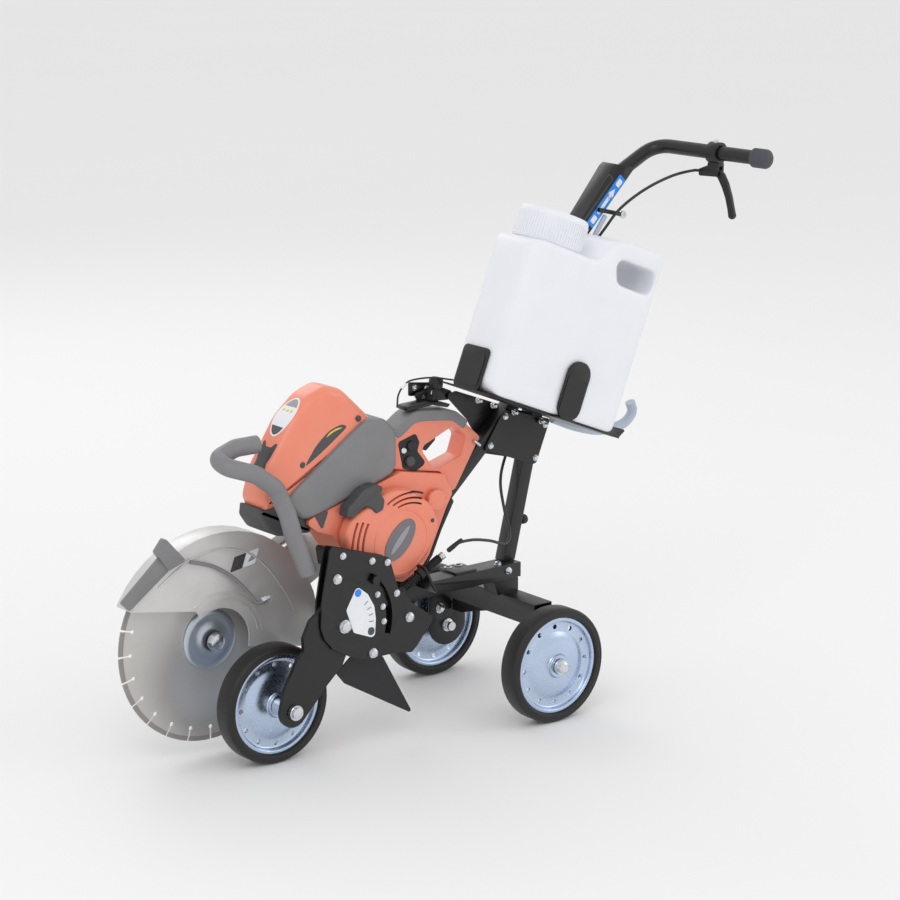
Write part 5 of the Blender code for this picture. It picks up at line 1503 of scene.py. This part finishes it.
@dataclass
class EngineUnit(SubAssembly):
    """The saw's engine with its moulded covers, handles, caps and drive."""

    near_y: float = 6.0
    far_y: float = 82.0
    starter_near: float = -22.0
    starter_far: float = 5.6
    handle_near: float = 16.0
    handle_far: float = 56.0
    crank: tuple[float, float] = (256.0, 342.0)

    def build(self) -> None:
        """Make every visible piece of the engine."""
        self.cover()
        self.starter()
        self.band()
        self.handles()
        self.drive()

    def shell(self, name: str, knots: Sequence[Point], y0: float, y1: float, crown: float,
              finish: Finish, node: str, part: Part = Part.CART, rounds: int = 6) -> bpy.types.Object:
        """Make a moulded shell in the place of a CAD node."""
        outline = smooth_outline(knots, 10, rounds)
        return self.bench.seat(name, pillow(outline, y0, y1, crown, self.bench, 8), finish, part,
                               [node], 45)

    def cover(self) -> None:
        """Make the air filter cover with its oval label, panel, sash and screws."""
        knots = [(118, 624), (150, 614), (200, 566), (216, 546), (196, 532), (38, 436), (-14, 428),
                 (-24, 452), (-6, 504), (10, 528), (42, 577), (82, 611)]
        y0, y1 = self.near_y + 6, self.far_y - 6
        cover = self.shell("top_cover_shell", knots, y0, y1, 17, ORANGE_NYLON, "top_cover", rounds=5)
        mid = (y0 + y1) / 2
        slope = Vector((42 - -6, 0, 574 - 504)).normalized()
        centre = self.bench.world((50, mid - 3, 577))
        side = -Y
        inner = ellipse(18, 35)
        for name, shape, lift, finish in (
                ("cover_oval_label", ellipse(21, 38), 0.3, LABEL_WHITE),
                ("cover_label_cap", [p for p in inner if p[1] > 17], 0.5, LABEL_GREY),
                ("cover_label_foot", [p for p in inner if p[1] < -18], 0.5, LABEL_DARK)):
            self.bench.seat(name, film(cover, shape, centre, side, slope, lift), finish, Part.CART)
        bars = [[(x + k * 10, z) for x, z in rounded([(-4, 9), (4, 9), (0, 16)], 1, 3)]
                for k in (-1, 0, 1)]
        for i, bar in enumerate(bars):
            self.bench.seat(f"cover_label_flag_{i}", film(cover, bar, centre, side, slope, 0.7, 3),
                            LABEL_YELLOW, Part.CART)
        lower = self.bench.world((10, mid - 5, 519))
        fall = Vector((24, 0, 48)).normalized()
        panel = rounded([(-15, -30), (15, -30), (18, 28), (8, 14), (-8, 14), (-18, 28)], 4, 5)
        self.bench.seat("cover_front_panel", film(cover, panel, lower, side, fall, 0.9), DARK_NYLON,
                        Part.CART)
        sash = Vector((198 - 38, 0, 541 - 442)).normalized()
        rise = Vector((-sash.z, 0, sash.x))
        near = self.bench.world((118, y0, 520))
        swoosh = smooth_outline([(-60, 6), (-10, 5), (48, 7), (40, 19), (14, 26), (-20, 22)], 8, 5)
        self.bench.seat("cover_side_sash", film(cover, swoosh, near, sash, rise, 0.3), LABEL_DARK,
                        Part.CART)
        stripe = smooth_outline([(2, 20), (20, 19), (40, 12), (30, 19), (14, 23)], 6, 3)
        self.bench.seat("cover_side_stripe", film(cover, stripe, near, sash, rise, 0.5, 3),
                        LABEL_YELLOW, Part.CART)
        self.repeat.heads("cover_screws", [(62, y0 + 4, 500), (176, y0 + 2, 562)], NEAR, 5.0,
                          DARK_NYLON, Part.CART, 5.0, 24)
        self.shell("air_filter_base_shell", [(-24, 440), (-27, 420), (-12, 398), (18, 384),
                                             (84, 380), (70, 410), (40, 445), (-10, 436)], y0 + 1,
                   y1 - 1, 9, DARK_NYLON, "air_filter_base", rounds=3)
        self.bench.seat("filter_button", self.lathe([(0, 0), (9, 0), (9, -3), (7, -5), (0, -5)],
                                                    (36, y0 + 0.5, 406), Y, 40), DARK_NYLON, Part.CART)

    def starter(self) -> None:
        """Make the recoil starter cover with its vents, their black floors of painted shade, blank badge and pull
        grip.
        """
        knots = [(324, 357), (299, 312), (251, 276), (186, 294), (134, 335), (124, 374), (138, 402),
                 (180, 422), (225, 438), (262, 434), (310, 398)]
        y0 = self.starter_near
        outline = smooth_outline(knots, 12, 10)
        shell = pillow(outline, y0, self.starter_far, 8, self.bench, 8)
        cx, cz = self.crank
        slots = [(97, 151, 184, 5.0), (108, 152, 182, 5.0), (119, 154, 179, 5.0),
                 (86, 66, 122, 3.6), (77, 66, 116, 3.6), (68, 66, 110, 3.2)]
        cutters, vent_shade_floors = [], []
        for radius, start, end, width in slots:
            band = (arc(cx, cz, radius + width / 2, start, end, 20)
                    + arc(cx, cz, radius - width / 2, end, start, 20))
            cutters.append(self.flat(band, y0 - 4, y0 + 7))
            # Black nylon floors at the bottom of the blind vent slots: painted shade standing for the dark space
            # behind the vents.
            inner = (arc(cx, cz, radius + width / 2 - 0.1, start + 0.2, end - 0.2, 20)
                     + arc(cx, cz, radius - width / 2 + 0.1, end - 0.2, start + 0.2, 20))
            vent_shade_floors.append(self.flat(inner, y0 + 5.8, y0 + 6.8))
        shell = carved(shell, joined(*cutters))
        cover = self.bench.seat("starter_cover_shell", shell, ORANGE_NYLON, Part.CART,
                                ["starter_cover"], 35)
        # The black vent floors are painted shade, not a moulded part.
        self.bench.seat("starter_vent_painted_shade", joined(*vent_shade_floors), BLACK_NYLON, Part.CART)
        ring = [(54, 0), (57, 0), (57.6, -0.8), (57, -1.4), (54, -1.4), (53.4, -0.8)]
        self.bench.seat("starter_bead", self.lathe(ring, (cx - 16, y0 + 0.6, cz + 4), Y, 96),
                        ORANGE_NYLON, Part.CART)
        centre = self.bench.world((cx - 19.4, y0, cz + 7.6))
        self.bench.seat("starter_badge", film(cover, ellipse(41, 23, 48), centre, X, Z, 1.2),
                        LABEL_SLATE, Part.CART)
        self.bench.seat("starter_badge_bar", film(cover, ellipse(29, 5.5, 48), centre, X, Z, 1.5),
                        LABEL_GREY, Part.CART)
        self.repeat.heads("starter_screws", [(196, y0 + 0.6, 412), (306, y0 + 2, 372)], NEAR, 3.6,
                          DARK_NYLON, Part.CART, 3.0, 24)
        grip = [(124, 408), (128, 424), (146, 436), (160, 449), (186, 455), (200, 448), (196, 436),
                (204, 424), (200, 408), (186, 404), (176, 414), (164, 420), (150, 414), (138, 404)]
        self.shell("starter_grip_shell", grip, y0 - 4, self.near_y - 6, 4, DARK_NYLON,
                   "starter_grip", Part.GRIP, 3)

    def band(self) -> None:
        """Make the grey band between the covers, with its label, and dress the case."""
        knots = [(20, 446), (188, 560), (226, 556), (250, 530), (250, 470), (238, 456), (60, 404)]
        self.shell("tank_band_shell", knots, self.near_y - 5, self.far_y, 8, GREY_NYLON, "tank_band",
                   rounds=4)
        case = self.bench.refine("engine_case", ORANGE_NYLON, Part.CART, 2.0, 30, 3)
        centre = self.bench.world((96, self.near_y, 404))
        label = rounded([(-16, 8), (14, 14), (0, -20)], 3, 4)
        self.bench.seat("case_warning_blank", film(case, label, centre, X, Z, 0.4), LABEL_DARK,
                        Part.CART)

    def handles(self) -> None:
        """Make both handles, the trigger and the caps."""
        self.bench.refine("rear_handle", ORANGE_NYLON, Part.CART, 3.0, 30, 3)
        w = self.bench.world
        y1 = self.handle_far
        knots = [(-8, y1 - 14, 540), (-50, y1 - 14, 540), (-92, y1 - 22, 530), (-94, 6, 522),
                 (-52, -17, 508), (-12, -17, 478), (10, -17, 430), (24, -17, 384), (50, -17, 326)]
        line = bent([w(k) for k in knots], 30, 12)
        self.bench.seat("front_handle_tube", swept(line, 15.0, 40), GREY_NYLON, Part.CART,
                        ["front_handle"], 60)
        self.bench.refine("throttle_trigger", BLACK_NYLON, Part.TRIGGER, 1.2, 30)
        cap = [(0, 5.5), (14, 5.5), (14.8, 4.8), (15, -1), (18, -2), (18, -4), (17, -5.4), (12, -6),
               (0, -6)]
        self.bench.seat("fuel_cap_body", self.lathe(cap, (330, 0, 400), Y, 72), ORANGE_NYLON,
                        Part.FUEL_CAP, ["fuel_cap"])
        facing = place_on(self.bench.world((330, -2.2, 400)), X, NEAR)
        self.repeat.run("fuel_cap_ribs", self.repeat.ring_tree(),
                        {"Count": 15, "Radius": 17.0 * MM, "Start": 0.0, "Sweep": math.tau,
                         "Bar": (0.0026, 0.004, 0.0064)}, ORANGE_NYLON, Part.FUEL_CAP, turn=facing)
        self.carburettor()
        top = [(250, 524), (298, 556), (384, 546), (414, 522), (404, 508), (378, 528), (302, 537),
               (264, 512)]
        self.bench.seat("rear_handle_grip", pillow(smooth_outline(top, 8, 3), self.handle_near - 1.2,
                                                   self.handle_far + 1.2, 2.4, self.bench, 5),
                        GREY_NYLON, Part.CART)

    def carburettor(self) -> None:
        """Make the choke knob, boot and collar on a dark panel beside the handle's opening."""
        y = self.handle_near
        panel = rounded([(262, 507), (300, 517), (308, 500), (303, 486), (322, 462), (300, 451),
                         (272, 460)], 6, 4)
        self.bench.seat("carburettor_panel", self.flat(panel, y - 0.6, y + 1), BLACK_NYLON, Part.CART)
        for name, x, z, radius, height, finish in (
                ("choke_knob", 286, 471, 9.0, 6.0, DARK_NYLON),
                ("intake_boot", 290, 497, 9.0, 4.0, SOFT_RUBBER),
                ("intake_collar", 274, 491, 5.5, 3.0, ZINC)):
            boss = [(0, 0), (radius, 0), (radius, -height + 1), (radius - 1.2, -height), (0, -height)]
            self.bench.seat(name, self.lathe(boss, (x, y, z), Y, 40), finish, Part.CART)

    def drive(self) -> None:
        """Dress the arm, belt, cover and clutch on the far side."""
        self.bench.refine("drive_arm", CAST_ALUMINIUM, Part.CART, 1.4, 30)
        self.bench.refine("belt_cover", GREY_NYLON, Part.CART, 0.8, 30)
        self.bench.refine("drive_belt", SOFT_RUBBER, Part.CART, 0.4, 30)
        self.bench.refine("clutch_pulley", DARK_STEEL, Part.CLUTCH, 0.5, 30)


@dataclass
class Clamp(SubAssembly):
    """The screw clamp that holds the saw on the cart by its rear handle."""

    def build(self) -> None:
        """Dress the plate, the shoe and the knob."""
        self.bench.refine("clamp_plate", POWDER_COAT, Part.CART, 0.6, 30)
        self.bench.refine("clamp_shoe", POWDER_COAT, Part.CART, 0.6, 30)
        axis = Vector((0.2, 0, 1))
        stem = [(0, 0), (4, 0), (4, 20), (9, 20.6), (11, 21.6), (12.5, 25), (12.5, 34), (11, 38),
                (7, 40.4), (0, 41)]
        self.bench.seat("clamp_knob_head", self.lathe(stem, (352, 34, 563.5), axis, 48), BLACK_NYLON,
                        Part.KNOB, ["clamp_knob"])
        self.repeat.heads("clamp_plate_heads", [(342, 50.2, 569), (362, 50.2, 573)], Y, 5.5, ZINC,
                          Part.CART, 3.6)
        pin = self.rod((424, 12, 486), (437, 12, 476), 3.4, 24)
        self.bench.seat("clamp_pin", pin, ZINC, Part.CART)
        plate = rounded([(316, 596), (366, 589), (366, 566), (316, 572)], 3, 4)
        self.bench.seat("clamp_stand_plate", self.flat(plate, 54.6, 57.6), POWDER_COAT, Part.CART,
                        bevel=0.4)
        self.repeat.heads("clamp_stand_heads", [(328, 54.6, 585), (354, 54.6, 581)], NEAR, 4.0, ZINC,
                          Part.CART, 3.0)
        wire = [(384, 20, 597), (340, 20, 607), (300, 20, 609), (281, 20, 604), (267, 20, 588),
                (264, 20, 566)]
        line = flowing([self.bench.world(k) for k in wire], 4)
        self.bench.seat("saw_stop_wire", swept(line, 1.6, 12), CABLE_JACKET, Part.CART, sharp=60)
        self.bench.seat("stop_wire_sleeve", self.rod((283, 20, 604.6), (273, 20, 597), 3.0, 20),
                        LABEL_WHITE, Part.CART)


# ---------------------------------------------------------------------------------------------
# Studio
# ---------------------------------------------------------------------------------------------
@dataclass
class Studio:
    """A pale floor, soft light from above and a long lens at shoulder height. Sizes in metres."""

    camera_at: tuple[float, float, float] = (-3.0048, -3.8262, 1.685)
    aim: tuple[float, float, float] = (0.0337, -0.0182, 0.4816)
    lens_mm: float = 118.196
    floor_radius: float = 14.0

    def build(self) -> None:
        """Make the camera, the lights, the sky and the floor."""
        lens = bpy.data.cameras.new("studio_camera")
        lens.lens = self.lens_mm
        lens.sensor_width = 36.0
        camera = bpy.data.objects.new("studio_camera", lens)
        camera.location = self.camera_at
        way = Vector(self.aim) - Vector(self.camera_at)
        camera.rotation_euler = way.to_track_quat("-Z", "Y").to_euler()
        bpy.context.scene.collection.objects.link(camera)
        bpy.context.scene.camera = camera
        self.light("key_softbox", (-2.6, -2.6, 3.6), 2.4, 34)
        self.light("fill_softbox", (3.2, -2.4, 1.8), 1.6, 12)
        self.light("back_softbox", (0.8, 3.4, 2.8), 2.0, 16)
        world = bpy.data.worlds.new("studio_air")
        world.use_nodes = True
        bpy.context.scene.world = world
        air = world.node_tree.nodes["Background"]
        air.inputs[0].default_value = linear("#eeeeee")
        air.inputs[1].default_value = 1.0
        bpy.context.scene.view_settings.view_transform = "Standard"
        floor = bmesh.new()
        bmesh.ops.create_circle(floor, cap_ends=True, segments=96, radius=self.floor_radius)
        mesh = bpy.data.meshes.new("studio_floor")
        floor.to_mesh(mesh)
        floor.free()
        mesh.materials.append(FLOOR_PAINT.build())
        slab = bpy.data.objects.new("studio_floor", mesh)
        bpy.context.scene.collection.objects.link(slab)

    def light(self, name: str, at: Point, size: float, power: float) -> None:
        """Hang a square softbox that faces the machine."""
        lamp = bpy.data.lights.new(name, "AREA")
        lamp.size = size
        lamp.energy = power
        holder = bpy.data.objects.new(name, lamp)
        holder.location = at
        way = Vector(self.aim) - Vector(at)
        holder.rotation_euler = way.to_track_quat("-Z", "Y").to_euler()
        bpy.context.scene.collection.objects.link(holder)


def main() -> None:
    """Load the frame, set the datum from the front tyre's box, and build the studio and each sub-assembly in order.
    """
    logging.basicConfig(level=logging.INFO, format="%(message)s")
    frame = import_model()
    low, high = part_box("front_tyre")
    datum = (low + high) / 2 - Vector((0.0, 20.0, 101.5)) * MM
    bench = Bench(datum, frame)
    repeat = Repeater(bench)
    Studio().build()
    wheels = [Wheel(bench, repeat, "front", (0.0, 20.0, 101.5), Part.FRONT_WHEEL),
              Wheel(bench, repeat, "rear_left", (499.0, -110.0, 101.5), Part.REAR_LEFT),
              Wheel(bench, repeat, "rear_right", (499.0, 226.0, 101.5), Part.REAR_RIGHT)]
    groups = [*wheels, DepthLinkage(bench, repeat), Cart(bench, repeat), TankUnit(bench, repeat),
              Handle(bench, repeat), BladeUnit(bench, repeat), EngineUnit(bench, repeat),
              Clamp(bench, repeat)]
    for group in groups:
        LOG.info("building %s", type(group).__name__)
        group.build()


if __name__ == "__main__":
    main()
